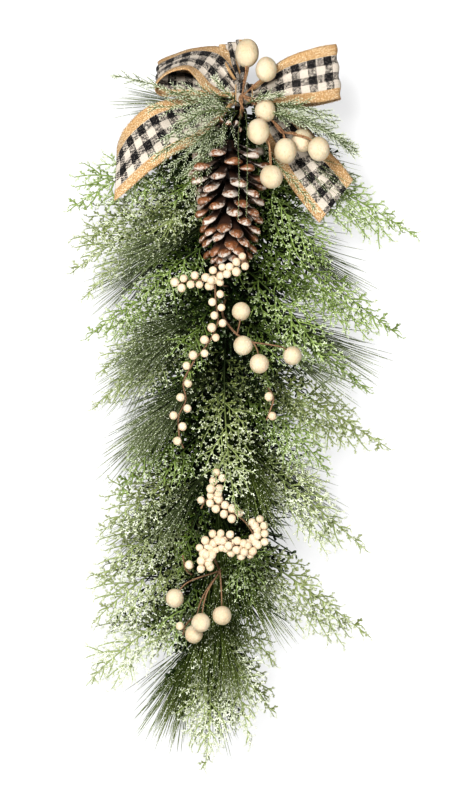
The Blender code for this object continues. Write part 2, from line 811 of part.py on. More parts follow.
def needle_sprays():
    """Sprays behind the cedar, rooted on the sides of the stem, then those that hang over it."""
    sides = (
        ("needles_left_1", -1, -150, (-74, -197), 18, 98),
        ("needles_left_2", -1, -228, (-72, -288), 18, 98),
        ("needles_left_3", -1, -300, (-70, -358), 16, 95),
        ("needles_left_4", -1, -420, (-68, -452), 14, 80),
        ("needles_right_1", 1, -62, (62, -96), 15, 92),
        ("needles_right_2", 1, -150, (70, -190), 15, 95),
        ("needles_right_3", 1, -240, (78, -275), 15, 95),
        ("needles_right_4", 1, -372, (42, -410), 16, 92),
        ("needles_top", -1, -52, (-58, -42), 12, 72),
    )
    sprays = []
    for name, side, root_z, (end_x, end_z), count, length in sides:
        root_z *= MM
        start = Vector((stem_x(root_z) + side * stem_radius(root_z), STEM_Y, root_z))
        end = Vector((end_x * MM, STEM_Y + 2 * MM, end_z * MM))
        start.x += side * (TOUCH * 0.5 + CORE_RADIUS * abs((end - start).normalized().z))
        sprays.append(NeedleSpray(name, start, end, count, length * MM, 0.42, 0.3))
    for name, root_z, end, count, length, flat in (
        ("needles_end_left", -562, (-48, -22, -610), 17, 92, 0.5),
        ("needles_end_right", -470, (12, -40, -520), 14, 92, 0.5),
        ("needles_front", -345, (18, -62, -412), 17, 92, 0.9),
        ("needles_front_low", -508, (-8, -58, -586), 17, 96, 0.9),
    ):
        start = stem_front(root_z * MM) - Vector((0, CORE_RADIUS, 0))
        sprays.append(NeedleSpray(name, start, Vector(end) * MM, count, length * MM, 0.36, flat))
    return sprays


def build_sprigs(swag):
    """Two thin sprigs of short needles that come out under the knot and lie over the ribbon tails."""
    for name, root_z, points, count in (
        ("sprig_left", -60, ((-12, -50, -69), (-28, -80, -78), (-48, -92, -80), (-76, -94, -100)), 13),
        ("sprig_right", -71, ((26, -40, -84), (38, -72, -98), (60, -82, -122), (84, -84, -152)), 13),
    ):
        start = stem_front(root_z * MM) - Vector((0, TOUCH * 1.5, 0))
        path = smooth_path([start] + [Vector(point) * MM for point in points], 2)
        grow_needles(swag, name, path, count, SPRIG_NEEDLE_LENGTH, 0.75, 1.0, 0.45)


def build_needles(swag, spray):
    path = smooth_path((spray.start, (spray.start + spray.end) / 2 + Vector((0, 0, 3)) * MM, spray.end), 3)
    grow_needles(swag, spray.name, path, spray.count, spray.length, spray.spread, spray.flat, 0.22)


def grow_needles(swag, name, path, count, usual_length, spread, flat, first_share):
    """Needles set in a spiral along the outer part of a core; each is turned until it clears the rest."""
    draw = random.Random(name)
    core = new_object(name, wire_curve(name, path, CORE_RADIUS, 0), None, swag.parts)
    core = as_mesh(core)
    core.data.materials.append(swag.needle_green)
    for index in range(count):
        share = mix(first_share, 0.97, (index + 0.5) / count)
        place = share * (len(path) - 1)
        low = min(int(place), len(path) - 2)
        foot = path[low].lerp(path[low + 1], place - low)
        along = (path[low + 1] - path[low]).normalized()
        across = along.cross(Vector((0, 1, 0))).normalized()
        over = across.cross(along).normalized()
        for attempt in range(NEEDLE_TRIES):
            turn = index * GOLDEN_ANGLE + attempt * draw.uniform(0.3, 0.9)
            lean = spread * draw.uniform(0.45, 1.25) * mix(1.5, 0.8, share)
            out = across * math.cos(turn) + over * (math.sin(turn) * flat)
            heading = (along + out * lean).normalized()
            length = usual_length * draw.uniform(0.86, 1.06)
            steps = range(3, NEEDLE_PROBES + 1)
            points = [foot + heading * (length * step / NEEDLE_PROBES) for step in steps]
            if max(point.y for point in points) < NEAREST_DOOR_Y and swag.clear_of_placed(
                points, NEEDLE_CLEARANCE
            ):
                needle(swag, foot, heading, length)
                break
    swag.keep(fused(core, swag.pieces))


def needle(swag, foot, heading, length):
    shape = bmesh.new()
    bmesh.ops.create_cone(
        shape, cap_ends=True, segments=NEEDLE_SIDES, radius1=NEEDLE_RADIUS, radius2=0, depth=length
    )
    turn = heading.to_track_quat("Z", "Y").to_matrix().to_4x4()
    place = Matrix.Translation(foot) @ turn @ Matrix.Translation((0, 0, length / 2))
    bmesh.ops.transform(shape, matrix=place, verts=shape.verts)
    swag.piece(mesh_from(shape, "needle"))


def clear_scene():
    for obj in list(bpy.data.objects):
        bpy.data.objects.remove(obj)


def main():
    clear_scene()
    swag = Swag()
    build_stem(swag)
    build_hanger(swag)
    build_bow(swag)
    build_cone(swag)
    build_large_picks(swag)
    build_berry_sprays(swag)
    build_sprigs(swag)
    for spray in CEDAR_SPRAYS:
        build_cedar(swag, spray)
    for spray in needle_sprays():
        build_needles(swag, spray)


main()
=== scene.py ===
"""Looks for a christmas door swag: frosted cedar and pine sprays, berry picks, a cone and a checked bow.

Metres, +Z up, -Y towards the viewer and +Y towards the door. The origin is the inside top of the wire
loop that the swag hangs from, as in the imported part, and the sizes here repeat the part's own.
"""

import logging
import math
import random
from collections.abc import Iterable, Sequence
from dataclasses import dataclass, field
from enum import Enum
from typing import TypeVar

import bmesh
import bpy
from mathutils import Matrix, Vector, noise
from mathutils.bvhtree import BVHTree

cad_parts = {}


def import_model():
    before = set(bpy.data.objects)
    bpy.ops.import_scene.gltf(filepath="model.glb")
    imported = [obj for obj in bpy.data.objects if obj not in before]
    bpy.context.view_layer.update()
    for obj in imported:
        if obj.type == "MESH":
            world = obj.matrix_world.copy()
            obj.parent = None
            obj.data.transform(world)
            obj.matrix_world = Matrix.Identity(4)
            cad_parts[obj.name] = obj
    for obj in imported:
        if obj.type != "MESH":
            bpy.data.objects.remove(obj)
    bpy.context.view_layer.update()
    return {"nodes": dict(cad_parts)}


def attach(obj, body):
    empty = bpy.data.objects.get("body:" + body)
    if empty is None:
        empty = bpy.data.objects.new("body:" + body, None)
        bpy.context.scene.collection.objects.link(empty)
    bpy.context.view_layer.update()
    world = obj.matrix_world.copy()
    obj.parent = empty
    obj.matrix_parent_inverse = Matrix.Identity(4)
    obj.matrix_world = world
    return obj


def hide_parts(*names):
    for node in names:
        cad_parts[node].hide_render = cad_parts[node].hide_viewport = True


log = logging.getLogger("swag")

MM = 0.001
GOLDEN_ANGLE = math.radians(137.508)

# The main stem, and the gap between things that touch
STEM_TOP_Z = -38 * MM
STEM_END_Z = -590 * MM
STEM_Y = -12 * MM
STEM_TOP_X = 8 * MM
STEM_END_X = -25 * MM
STEM_TOP_RADIUS = 5 * MM
STEM_END_RADIUS = 2.6 * MM
WRAP_PITCH = 7 * MM
TOUCH = 0.35 * MM

# How far the foliage stands forward
FORWARD_SLOPE = 0.55
SIDE_SHARE = 0.15
SIDE_REACH = 105 * MM
TAPER_FROM_Z = -430 * MM
TAPER_TO_Z = -720 * MM
TAPER_SHARE = 0.6
FREE_END_Z = -525 * MM
DEEPEST_LEAF_Y = 2.5 * MM
DEEPEST_NEEDLE_Y = 4.5 * MM
INNER_DEPTH_SHARE = 0.55

# The parts of a spray
CORE_RADIUS = 1.3 * MM
SHORTEST_LEAF = 0.4 * MM
SHORTEST_FROND = 8 * MM
FROND_STEP = 4 * MM
FROND_SWAY = 5 * MM
TWIGGY_FROND = 34 * MM
TWIG_PITCH = 20 * MM
NEEDLE_SAG = 5 * MM

# How near foliage comes to the bow, the cone and the berries
MASS_CLEARANCE = 4 * MM
FROND_CLEARANCE = 3 * MM
FERN_CLEARANCE = 1.2 * MM

# The cone's scales, and the berries' stalks: a twine has a strand's radius, its offset and its turn
CONE_SCALE_MM = 30
LONGEST_SCALE = 44 * MM
STALK_RADIUS = 1.3 * MM
SMALL_STEM_RADIUS = 0.6 * MM
MAIN_TWINE = (1.25 * MM, 1.15 * MM, 26.0)
SIDE_TWINE = (0.75 * MM, 0.7 * MM, 9.0)

# The ribbon
RIBBON_WIDTH = 56 * MM
RIBBON_THICKNESS = 0.7 * MM
BURLAP_EDGE = 11 * MM
CHECK_SIZE = 8.5 * MM
FRINGE_PITCH = 2.1 * MM
KNOT_GIRTH = 70 * MM
KNOT_LEFT_MM = 2.4
KNOT_RIGHT_MM = 21.6

# The stage: each light has its place, its width in metres and its power in watts
PICTURE_HEIGHT_M = 0.8
PICTURE_CENTRE = Vector((-0.001, -0.04, -0.34))
CAMERA_DISTANCE = 6.0
DOOR_Y = 9 * MM
FLOOR_Z = -1.6
LIGHTS = (
    ("key", (-1.0, -2.7, 0.9), 1.6, 94),
    ("fill", (1.6, -2.8, 0.2), 1.4, 26),
    ("low", (-0.3, -2.6, -1.5), 1.2, 30),
)

Colour = tuple[float, float, float]
Place = tuple[float, float, float]
Ends = tuple[float, float]
Mixable = TypeVar("Mixable", float, Vector)


class Held(Enum):
    """How a length of ribbon is held."""

    GATHERED = "gathered"
    HUNG = "hung"


class Green(Enum):
    """Which greenery a finish is for."""

    CEDAR = "cedar_green"
    PALE_CEDAR = "cedar_pale"
    # painted shade: near-black cedar for the inside of the swag
    INNER_CEDAR = "cedar_inner"
    GREY_NEEDLE = "needle_grey"
    NEEDLE = "needle_green"
    # painted shade: near-black pine for the inside of the swag
    INNER_NEEDLE = "needle_inner"
    FERN = "fern_frost"


class Depth(Enum):
    """Which layer of the foliage a cedar spray belongs to."""

    OUTER = "outer"
    INNER = "inner"


def mix(a: Mixable, b: Mixable, t: float) -> Mixable:
    """A value or vector between a and b."""
    return a + (b - a) * t


def smoothstep(low: float, high: float, value: float) -> float:
    """A smooth rise from 0 at low to 1 at high."""
    t = min(1.0, max(0.0, (value - low) / (high - low)))
    return t * t * (3 - 2 * t)


def stem_share(z: float) -> float:
    """How far down the main stem a height is, from 0 to 1."""
    return min(1.0, max(0.0, (z - STEM_TOP_Z) / (STEM_END_Z - STEM_TOP_Z)))


def stem_x(z: float) -> float:
    """Where the main stem runs at a height."""
    return mix(STEM_TOP_X, STEM_END_X, stem_share(z))


def stem_radius(z: float) -> float:
    """The main stem's radius at a height."""
    return mix(STEM_TOP_RADIUS, STEM_END_RADIUS, stem_share(z))


def stem_front(z: float) -> Vector:
    """The point just in front of the main stem at a height."""
    return Vector((stem_x(z), STEM_Y - stem_radius(z) - TOUCH, z))


def fullness(x: float, z: float) -> float:
    """The share of its forward rise that foliage keeps at a point of the front view.

    Args:
        x: The point's X.
        z: The point's Z.

    Returns:
        The share, from 0 to 1.
    """
    side = (x - stem_x(z)) / SIDE_REACH
    across = SIDE_SHARE + (1 - SIDE_SHARE) * math.exp(-side * side)
    return across * (1 - TAPER_SHARE * smoothstep(TAPER_FROM_Z, TAPER_TO_Z, z))


def foliage_y(x: float, z: float, root_z: float) -> float:
    """The depth of a spray rooted on the stem at root_z, at a point of the front view."""
    reach = max(0.0, math.hypot(x - stem_x(root_z), z - root_z) - CORE_RADIUS)
    return stem_front(root_z).y - FORWARD_SLOPE * reach * fullness(x, z)


def smooth_path(points: Iterable[Sequence[float]], steps: int) -> list[Vector]:
    """A curve through points.

    Args:
        points: The points it passes through, in metres.
        steps: How many steps lie between each two.

    Returns:
        The points along the curve.
    """
    corners = [Vector(point) for point in points]
    path = []
    for index in range(len(corners) - 1):
        before = corners[max(index - 1, 0)]
        start, end = corners[index], corners[index + 1]
        after = corners[min(index + 2, len(corners) - 1)]
        square = 2 * before - 5 * start + 4 * end - after
        cube = 3 * start - before - 3 * end + after
        for step in range(steps):
            t = step / steps
            path.append(0.5 * (2 * start + (end - before) * t + square * t**2 + cube * t**3))
    return path + [corners[-1]]


def in_metres(points: Iterable[Sequence[float]]) -> list[Vector]:
    """Points given in millimetres, as vectors in metres."""
    return [Vector(point) * MM for point in points]


def on_path(path: Sequence[Vector], share: float) -> tuple[Vector, Vector]:
    """The point at a share of a path's steps, and the direction there.

    Args:
        path: The path.
        share: The share, from 0 to 1.

    Returns:
        The point and the unit direction.
    """
    place = min(max(share, 0.0), 1.0) * (len(path) - 1)
    low = min(int(place), len(path) - 2)
    return path[low].lerp(path[low + 1], place - low), (path[low + 1] - path[low]).normalized()


def in_scene(name: str, data: bpy.types.ID) -> bpy.types.Object:
    """An object of the data, linked to the scene.

    Args:
        name: Its name.
        data: Its data.

    Returns:
        The object.
    """
    made = bpy.data.objects.new(name, data)
    bpy.context.scene.collection.objects.link(made)
    return made


def circle(sides: int) -> list[float]:
    """The angles of a ring's points."""
    return [2 * math.pi * side / sides for side in range(sides)]


class NodeBook:
    """Adds nodes to a shader or geometry tree and fills their sockets."""

    def __init__(self, tree: bpy.types.NodeTree) -> None:
        """Keeps the tree that nodes go into."""
        self.tree = tree

    def node(self, kind: str, settings: dict | None = None, inputs: dict | None = None) -> bpy.types.Node:
        """Adds one node.

        Args:
            kind: The node's type.
            settings: Its own settings, set first.
            inputs: What each socket holds, by name or index: a Value to link or a constant.

        Returns:
            The node.
        """
        made = self.tree.nodes.new(kind)
        for name, setting in (settings or {}).items():
            setattr(made, name, setting)
        for key, value in (inputs or {}).items():
            if isinstance(value, Value):
                self.tree.links.new(value.socket, made.inputs[key])
            else:
                made.inputs[key].default_value = value
        return made

    def value(
        self, kind: str, settings: dict | None = None, inputs: dict | None = None, output: int | str = 0
    ) -> "Value":
        """Adds one node and gives the output that is wanted as a Value."""
        return Value(self, self.node(kind, settings, inputs).outputs[output])

    def vector(self, operation: str, *inputs: "Value | Sequence[float]") -> "Value":
        """A Vector Math node's result."""
        return self.value("ShaderNodeVectorMath", {"operation": operation}, dict(enumerate(inputs)))

    def scaled(self, vector: "Value", factor: "Value | float") -> "Value":
        """A vector times a number."""
        return self.value("ShaderNodeVectorMath", {"operation": "SCALE"}, {0: vector, 3: factor})


class Value:
    """A node's output that takes part in Python sums."""

    def __init__(self, book: NodeBook, socket: bpy.types.NodeSocket) -> None:
        """Wraps one output socket of the book's tree."""
        self.book = book
        self.socket = socket

    def math(self, operation: str, *others: "Value | float") -> "Value":
        """A Math node on this value and others."""
        return self.book.value("ShaderNodeMath", {"operation": operation}, dict(enumerate((self, *others))))

    def __add__(self, other: "Value | float") -> "Value":
        """Their sum."""
        return self.math("ADD", other)

    __radd__ = __add__

    def __mul__(self, other: "Value | float") -> "Value":
        """Their product."""
        return self.math("MULTIPLY", other)

    __rmul__ = __mul__

    def __sub__(self, other: "Value | float") -> "Value":
        """This less the other."""
        return self.math("SUBTRACT", other)

    def __rsub__(self, other: float) -> "Value":
        """A number less this."""
        return self.book.value("ShaderNodeMath", {"operation": "SUBTRACT"}, {0: other, 1: self})

    def __truediv__(self, other: "Value | float") -> "Value":
        """This over the other."""
        return self.math("DIVIDE", other)

    def __mod__(self, other: float) -> "Value":
        """What is left over from whole steps of the other."""
        return self.math("FLOORED_MODULO", other)

    def rise(self, low: float, high: float) -> "Value":
        """A smooth step from 0 at low to 1 at high."""
        inputs = {"Value": self, "From Min": low, "From Max": high}
        return self.book.value("ShaderNodeMapRange", {"interpolation_type": "SMOOTHSTEP"}, inputs)


class Paint(NodeBook):
    """One material in the making, on a Principled shader."""

    def __init__(self, name: str) -> None:
        """Starts an empty material with its shader and output.

        Args:
            name: The material's name.
        """
        self.material = bpy.data.materials.new(name)
        self.material.use_nodes = True
        super().__init__(self.material.node_tree)
        self.tree.nodes.clear()
        self.shader = self.node("ShaderNodeBsdfPrincipled")
        end = self.node("ShaderNodeOutputMaterial")
        self.tree.links.new(self.shader.outputs[0], end.inputs["Surface"])

    def place(self) -> Value:
        """The Object coordinates."""
        return self.value("ShaderNodeTexCoord", output="Object")

    def attribute(self, name: str) -> Value:
        """A number kept on the mesh's points."""
        return self.value("ShaderNodeAttribute", {"attribute_name": name}, output="Fac")

    def grain(self, size: float, detail: float = 3.0, place: Value | None = None) -> Value:
        """Noise whose lumps are about the size given, in metres.

        Args:
            size: The size of a lump.
            detail: How much finer noise it has.
            place: Its coordinates, if not the object's.

        Returns:
            The noise, from 0 to 1.
        """
        return self.value(
            "ShaderNodeTexNoise",
            inputs={"Vector": place or self.place(), "Scale": 0.6 / size, "Detail": detail},
            output="Fac",
        )

    def blend(self, factor: Value | float, first: Value | Colour, second: Value | Colour) -> Value:
        """A colour between two.

        Args:
            factor: How much of the second.
            first: The colour at 0.
            second: The colour at 1.

        Returns:
            The colour.
        """
        colours = [other if isinstance(other, Value) else (*other, 1.0) for other in (first, second)]
        inputs = {0: factor, 6: colours[0], 7: colours[1]}
        return self.value("ShaderNodeMix", {"data_type": "RGBA"}, inputs, output=2)

    def finish(
        self,
        colour: Value | Colour,
        roughness: Value | float,
        height: Value | None = None,
        depth: float = 0.0,
        constants: dict[str, float | Colour] | None = None,
    ) -> bpy.types.Material:
        """Fills the shader's sockets.

        Args:
            colour: The base colour.
            roughness: The roughness.
            height: The relief, from 0 to 1.
            depth: How deep the relief is, in metres.
            constants: Other sockets' constants, by name.

        Returns:
            The finished material.
        """
        sockets = {"Base Color": colour, "Roughness": roughness, **(constants or {})}
        if height is not None:
            sockets["Normal"] = self.value("ShaderNodeBump", inputs={"Height": height, "Distance": depth})
        for name, given in sockets.items():
            if isinstance(given, Value):
                self.tree.links.new(given.socket, self.shader.inputs[name])
            else:
                given = (*given, 1.0) if isinstance(given, tuple) else given
                self.shader.inputs[name].default_value = given
        return self.material


@dataclass(frozen=True)
class LeafFinish:
    """Moulded greenery with painted shade: dark at its lobes' feet and wherever its brightness is lowered as
    shade, pale along its ribs and frosted at its tips.
    """

    name: str
    stem: Colour
    # painted shade: the near-black green that leaves take where their painted brightness is lowest, at
    # sprays' roots, overlapped fronds and back layers
    shaded_green: Colour
    middle: Colour
    fresh: Colour
    frost: Colour = (0.72, 0.78, 0.60)
    frost_grain: float = 1.3 * MM
    roughness: float = 0.5

    def material(self) -> bpy.types.Material:
        """The finish as a material that reads along, shade, frost, crumb and the brightness that carries
        painted shade from the mesh.

        Returns:
            The material.
        """
        paint = Paint(self.name)
        along, shade, frost, tone = (paint.attribute(name) for name in ("along", "shade", "frost", "tone"))
        frost = frost + paint.attribute("crumb")
        patches = paint.grain(24 * MM, 1.0)
        # painted shade and light: paleness towards the lobe tips, a random shade, random patches and the
        # per-frond brightness, whose low values paint shade on roots, overlapped fronds and back layers
        light = along * 0.4 + (shade - 0.5) * 0.3 + (tone - 0.5) + (patches - 0.5) * 0.4 + 0.18
        green = paint.blend(light.rise(-0.15, 0.4), self.shaded_green, self.middle)
        green = paint.blend(light.rise(0.3, 0.85), green, self.fresh)
        # painted shade: the ribs keep their pale stem colour only where the painted brightness is high
        green = paint.blend((0.12 - along).rise(0.0, 0.1) * tone.rise(0.1, 0.9) * 0.9, green, self.stem)
        specks = paint.grain(self.frost_grain, 2.0)
        # painted light: frost shows more where the painted brightness is high
        cover = (along * 0.6 + specks * 1.2 + frost * 0.45 + shade * 0.15 + tone * 0.4).rise(1.30, 1.88) * 0.9
        colour = paint.blend(cover, green, self.frost)
        rough = cover * 0.3 + self.roughness
        return paint.finish(colour, rough, specks, 0.25 * MM, {"Specular IOR Level": 0.2})


@dataclass(frozen=True)
class ConeFinish:
    """Dry woody scales: near-black feet as painted shade between the scales, grey-brown backs, red-brown tips
    and a dusting of white along their rims.
    """

    name: str
    # painted shade: near black, the colour of the scales' feet and the core, where shade falls between the
    # scales
    inner: Colour = (0.006, 0.004, 0.003)
    back: Colour = (0.065, 0.040, 0.030)
    tip: Colour = (0.24, 0.105, 0.045)
    frost: Colour = (0.56, 0.53, 0.48)

    def material(self) -> bpy.types.Material:
        """The finish as a material that reads along, shade and rim from the mesh.

        Returns:
            The material.
        """
        paint = Paint(self.name)
        along, shade, rim = (paint.attribute(name) for name in ("along", "shade", "rim"))
        fibre = paint.grain(1.5 * MM, 3.0)
        # painted shade: each scale fades from its near-black foot to its grey-brown back
        wood = paint.blend((along + shade * 0.1).rise(0.34, 0.68), self.inner, self.back)
        wood = paint.blend((along + fibre * 0.16 + shade * 0.06).rise(0.78, 0.93), wood, self.tip)
        wood = paint.blend(fibre.rise(0.35, 0.65) * 0.45, wood, (0.05, 0.020, 0.010))
        specks = paint.grain(1.6 * MM, 2.0)
        patches = paint.grain(10 * MM, 1.0)
        dust = (specks * 0.8 + along * 0.45 + patches * 0.6 + shade * 0.2 + rim * 0.2).rise(1.22, 1.46)
        colour = paint.blend(dust * 0.75, wood, self.frost)
        return paint.finish(colour, dust * 0.25 + 0.42, fibre, 0.5 * MM, {"Specular IOR Level": 0.5})


@dataclass(frozen=True)
class BerryFinish:
    """Cream foam with fine pores."""

    name: str
    cream: Colour = (0.575, 0.495, 0.37)
    shadow: Colour = (0.50, 0.41, 0.275)
    pore: float = 0.9 * MM
    roughness: float = 0.62

    def material(self) -> bpy.types.Material:
        """The finish as a material.

        Returns:
            The material.
        """
        paint = Paint(self.name)
        pores = paint.grain(self.pore, 3.0)
        patches = paint.grain(9 * MM, 2.0)
        colour = paint.blend((patches + pores * 0.3).rise(0.35, 0.95), self.cream, self.shadow)
        colour = paint.blend(pores.rise(0.62, 0.78) * 0.5, colour, (0.26, 0.18, 0.10))
        return paint.finish(
            colour,
            pores * 0.2 + self.roughness,
            pores,
            0.8 * MM,
            {"Subsurface Weight": 0.12, "Subsurface Scale": 0.004, "Specular IOR Level": 0.3},
        )


@dataclass(frozen=True)
class BarkFinish:
    """Wound paper or bark: a brown with lighter fibres along it."""

    name: str
    dark: Colour
    light: Colour
    grain: float = 1.2 * MM
    roughness: float = 0.75

    def material(self) -> bpy.types.Material:
        """The finish as a material.

        Returns:
            The material.
        """
        paint = Paint(self.name)
        fibre = paint.grain(self.grain, 4.0)
        patches = paint.grain(12 * MM, 2.0)
        colour = paint.blend((fibre * 0.7 + patches * 0.4).rise(0.35, 0.75), self.dark, self.light)
        return paint.finish(colour, fibre * 0.2 + self.roughness, fibre, 0.4 * MM)


@dataclass(frozen=True)
class WireFinish:
    """Dark green lacquered wire."""

    name: str
    colour: Colour = (0.030, 0.050, 0.028)

    def material(self) -> bpy.types.Material:
        """The finish as a material.

        Returns:
            The material.
        """
        paint = Paint(self.name)
        wear = paint.grain(2.5 * MM, 3.0)
        colour = paint.blend(wear.rise(0.62, 0.72) * 0.6, self.colour, (0.18, 0.17, 0.15))
        return paint.finish(colour, wear * 0.3 + 0.25, wear, 0.05 * MM)


@dataclass(frozen=True)
class RibbonFinish:
    """Woven ribbon: a black and cream check between two burlap edges, as its UV map gives, in metres."""

    name: str
    black: Colour = (0.012, 0.011, 0.012)
    cream: Colour = (0.56, 0.505, 0.435)
    tan: Colour = (0.57, 0.375, 0.19)
    tan_dark: Colour = (0.28, 0.15, 0.06)
    tan_light: Colour = (0.74, 0.63, 0.46)
    thread: float = 1.9 * MM
    burlap_thread: float = 1.5 * MM

    def material(self) -> bpy.types.Material:
        """The finish as a material.

        Returns:
            The material.
        """
        paint = Paint(self.name)
        flat = paint.value("ShaderNodeUVMap", {"uv_map": "cloth"})
        axes = paint.node("ShaderNodeSeparateXYZ", inputs={0: flat})
        along, across = Value(paint, axes.outputs[0]), Value(paint, axes.outputs[1])
        wander = paint.grain(3.0 * MM, 2.0, flat) * (0.8 * MM)
        checked = self._check(paint, along, across, wander, flat)
        burlap, burlap_height = self._burlap(paint, along, across, wander, flat)
        from_middle = (across - RIBBON_WIDTH / 2).math("ABSOLUTE")
        edge = (from_middle + wander * 0.5).rise(
            RIBBON_WIDTH / 2 - BURLAP_EDGE - 0.1 * MM, RIBBON_WIDTH / 2 - BURLAP_EDGE + 0.5 * MM
        )
        colour = paint.blend(edge, checked[0], burlap)
        height = edge * burlap_height + (1 - edge) * checked[1]
        return paint.finish(
            colour, 0.88, height, 0.45 * MM, {"Sheen Weight": 0.08, "Specular IOR Level": 0.2}
        )

    def _check(
        self, paint: Paint, along: Value, across: Value, wander: Value, flat: Value
    ) -> tuple[Value, Value]:
        """The check's colour and its weave's height.

        Args:
            paint: The material in the making.
            along: Metres along the ribbon.
            across: Metres across it.
            wander: How far the threads stray.
            flat: Both, as a vector.

        Returns:
            The colour and the height.
        """
        rows = ((along + wander) / CHECK_SIZE % 2.0).math("GREATER_THAN", 1.0)
        columns = ((across - BURLAP_EDGE + wander) / CHECK_SIZE % 2.0).math("GREATER_THAN", 1.0)
        warp = ((along + wander) * (2 * math.pi / self.thread)).math("SINE")
        weft = ((across + wander) * (2 * math.pi / self.thread)).math("SINE")
        over = (warp * weft + (paint.grain(1.5 * MM, 2.0, flat) - 0.46) * 3.4).rise(-0.15, 0.15)
        dark = over * rows.math("MAXIMUM", columns) + (1 - over) * rows.math("MINIMUM", columns)
        slubs = paint.grain(0.9 * MM, 2.0, flat)
        dark = (dark + (slubs - 0.5) * 0.9).rise(0.3, 0.7)
        cream = paint.blend(slubs.rise(0.3, 0.8) * 0.5, self.cream, (0.34, 0.29, 0.24))
        black = paint.blend(slubs.rise(0.52, 0.74) * 0.32, self.black, self.cream)
        return paint.blend(dark, cream, black), warp * weft * 0.3 + 0.5

    def _burlap(
        self, paint: Paint, along: Value, across: Value, wander: Value, flat: Value
    ) -> tuple[Value, Value]:
        """The burlap's colour and its weave's height.

        Args:
            paint: The material in the making.
            along: Metres along the ribbon.
            across: Metres across it.
            wander: How far the threads stray.
            flat: Both, as a vector.

        Returns:
            The colour and the height.
        """
        warp = ((along + wander) * (2 * math.pi / self.burlap_thread)).math("SINE")
        weft = ((across + wander) * (2 * math.pi / self.burlap_thread)).math("SINE")
        weave = warp * weft * 0.5 + 0.5
        slubs = paint.grain(1.2 * MM, 2.0, flat)
        flecks = paint.grain(0.8 * MM, 2.0, flat)
        patches = paint.grain(14 * MM, 1.0, flat)
        colour = paint.blend((weave * 0.45 + slubs * 0.75).rise(0.3, 0.8), self.tan_dark, self.tan)
        colour = paint.blend((flecks * 1.1 + patches * 0.3).rise(0.70, 0.86) * 0.85, colour, self.tan_light)
        return colour, weave


@dataclass(frozen=True)
class StageFinish:
    """A plain pale surface that glows a little to stay near white, and may be clear from behind."""

    name: str
    colour: Colour = (0.28, 0.28, 0.282)
    glow: float = 0.455
    one_sided: bool = False

    def material(self) -> bpy.types.Material:
        """The finish as a material.

        Returns:
            The material.
        """
        paint = Paint(self.name)
        made = paint.finish(
            self.colour, 0.9, constants={"Emission Color": (1.0, 1.0, 1.0), "Emission Strength": self.glow}
        )
        if self.one_sided:
            back = paint.value("ShaderNodeNewGeometry", output="Backfacing")
            clear = paint.value("ShaderNodeBsdfTransparent")
            shown = paint.value(
                "ShaderNodeMixShader", inputs={0: back, 1: Value(paint, paint.shader.outputs[0]), 2: clear}
            )
            end = next(node for node in paint.tree.nodes if node.type == "OUTPUT_MATERIAL")
            paint.tree.links.new(shown.socket, end.inputs["Surface"])
        return made


class Palette:
    """Every finish of the swag, made once."""

    def __init__(self) -> None:
        """Makes the materials."""
        # Each green lists its stem, shaded, middle and fresh colours and may list a frost colour; the shaded
        # colour is painted shade, and the inner greens are near black, painted shade for the depths of the
        # swag
        greens = {
            Green.CEDAR: (
                (0.24, 0.31, 0.11), (0.008, 0.020, 0.003), (0.10, 0.145, 0.024), (0.29, 0.37, 0.13),
                (0.75, 0.79, 0.65),
            ),
            Green.PALE_CEDAR: (
                (0.28, 0.33, 0.15), (0.012, 0.022, 0.006), (0.18, 0.21, 0.072), (0.38, 0.42, 0.23),
                (0.78, 0.80, 0.70),
            ),
            # painted shade: near-black cedar for the inside of the swag
            Green.INNER_CEDAR: (
                (0.020, 0.018, 0.008), (0.002, 0.005, 0.001), (0.014, 0.029, 0.005), (0.045, 0.08, 0.016),
            ),
            Green.GREY_NEEDLE: (
                (0.030, 0.030, 0.015), (0.012, 0.020, 0.006), (0.085, 0.11, 0.045), (0.26, 0.30, 0.16),
                (0.90, 0.92, 0.80),
            ),
            Green.NEEDLE: (
                (0.030, 0.026, 0.012), (0.008, 0.016, 0.002), (0.052, 0.078, 0.014), (0.18, 0.22, 0.065),
                (0.90, 0.92, 0.80),
            ),
            # painted shade: near-black pine for the inside of the swag
            Green.INNER_NEEDLE: (
                (0.010, 0.010, 0.006), (0.003, 0.007, 0.002), (0.014, 0.025, 0.008), (0.028, 0.050, 0.016),
            ),
            Green.FERN: (
                (0.12, 0.14, 0.06), (0.02, 0.035, 0.01), (0.11, 0.15, 0.05), (0.27, 0.33, 0.15),
                (0.80, 0.84, 0.66),
            ),
        }
        self.greens = {
            green: LeafFinish(green.value, *colours).material() for green, colours in greens.items()
        }
        self.cone = ConeFinish("cone_scales").material()
        self.berry = BerryFinish("berry_foam").material()
        self.small_berry = BerryFinish(
            "small_berry_foam", (0.69, 0.585, 0.45), (0.60, 0.48, 0.34), 0.6 * MM, 0.5
        ).material()
        self.stalk = BarkFinish("berry_stalk", (0.085, 0.048, 0.026), (0.27, 0.17, 0.10), 0.8 * MM).material()
        self.twine = BarkFinish("pick_twine", (0.13, 0.065, 0.032), (0.40, 0.25, 0.14), 0.9 * MM).material()
        self.bark = BarkFinish("stem_wrap", (0.045, 0.026, 0.016), (0.16, 0.10, 0.06)).material()
        self.wire = WireFinish("hanger_wire").material()
        self.ribbon = RibbonFinish("ribbon_weave").material()
        self.fringe = BarkFinish("burlap_fringe", (0.32, 0.18, 0.08), (0.66, 0.48, 0.29), 0.8 * MM).material()
        self.wall = StageFinish("wall_white", one_sided=True).material()
        self.floor = StageFinish("floor_white", (0.90, 0.90, 0.90), 0.15).material()


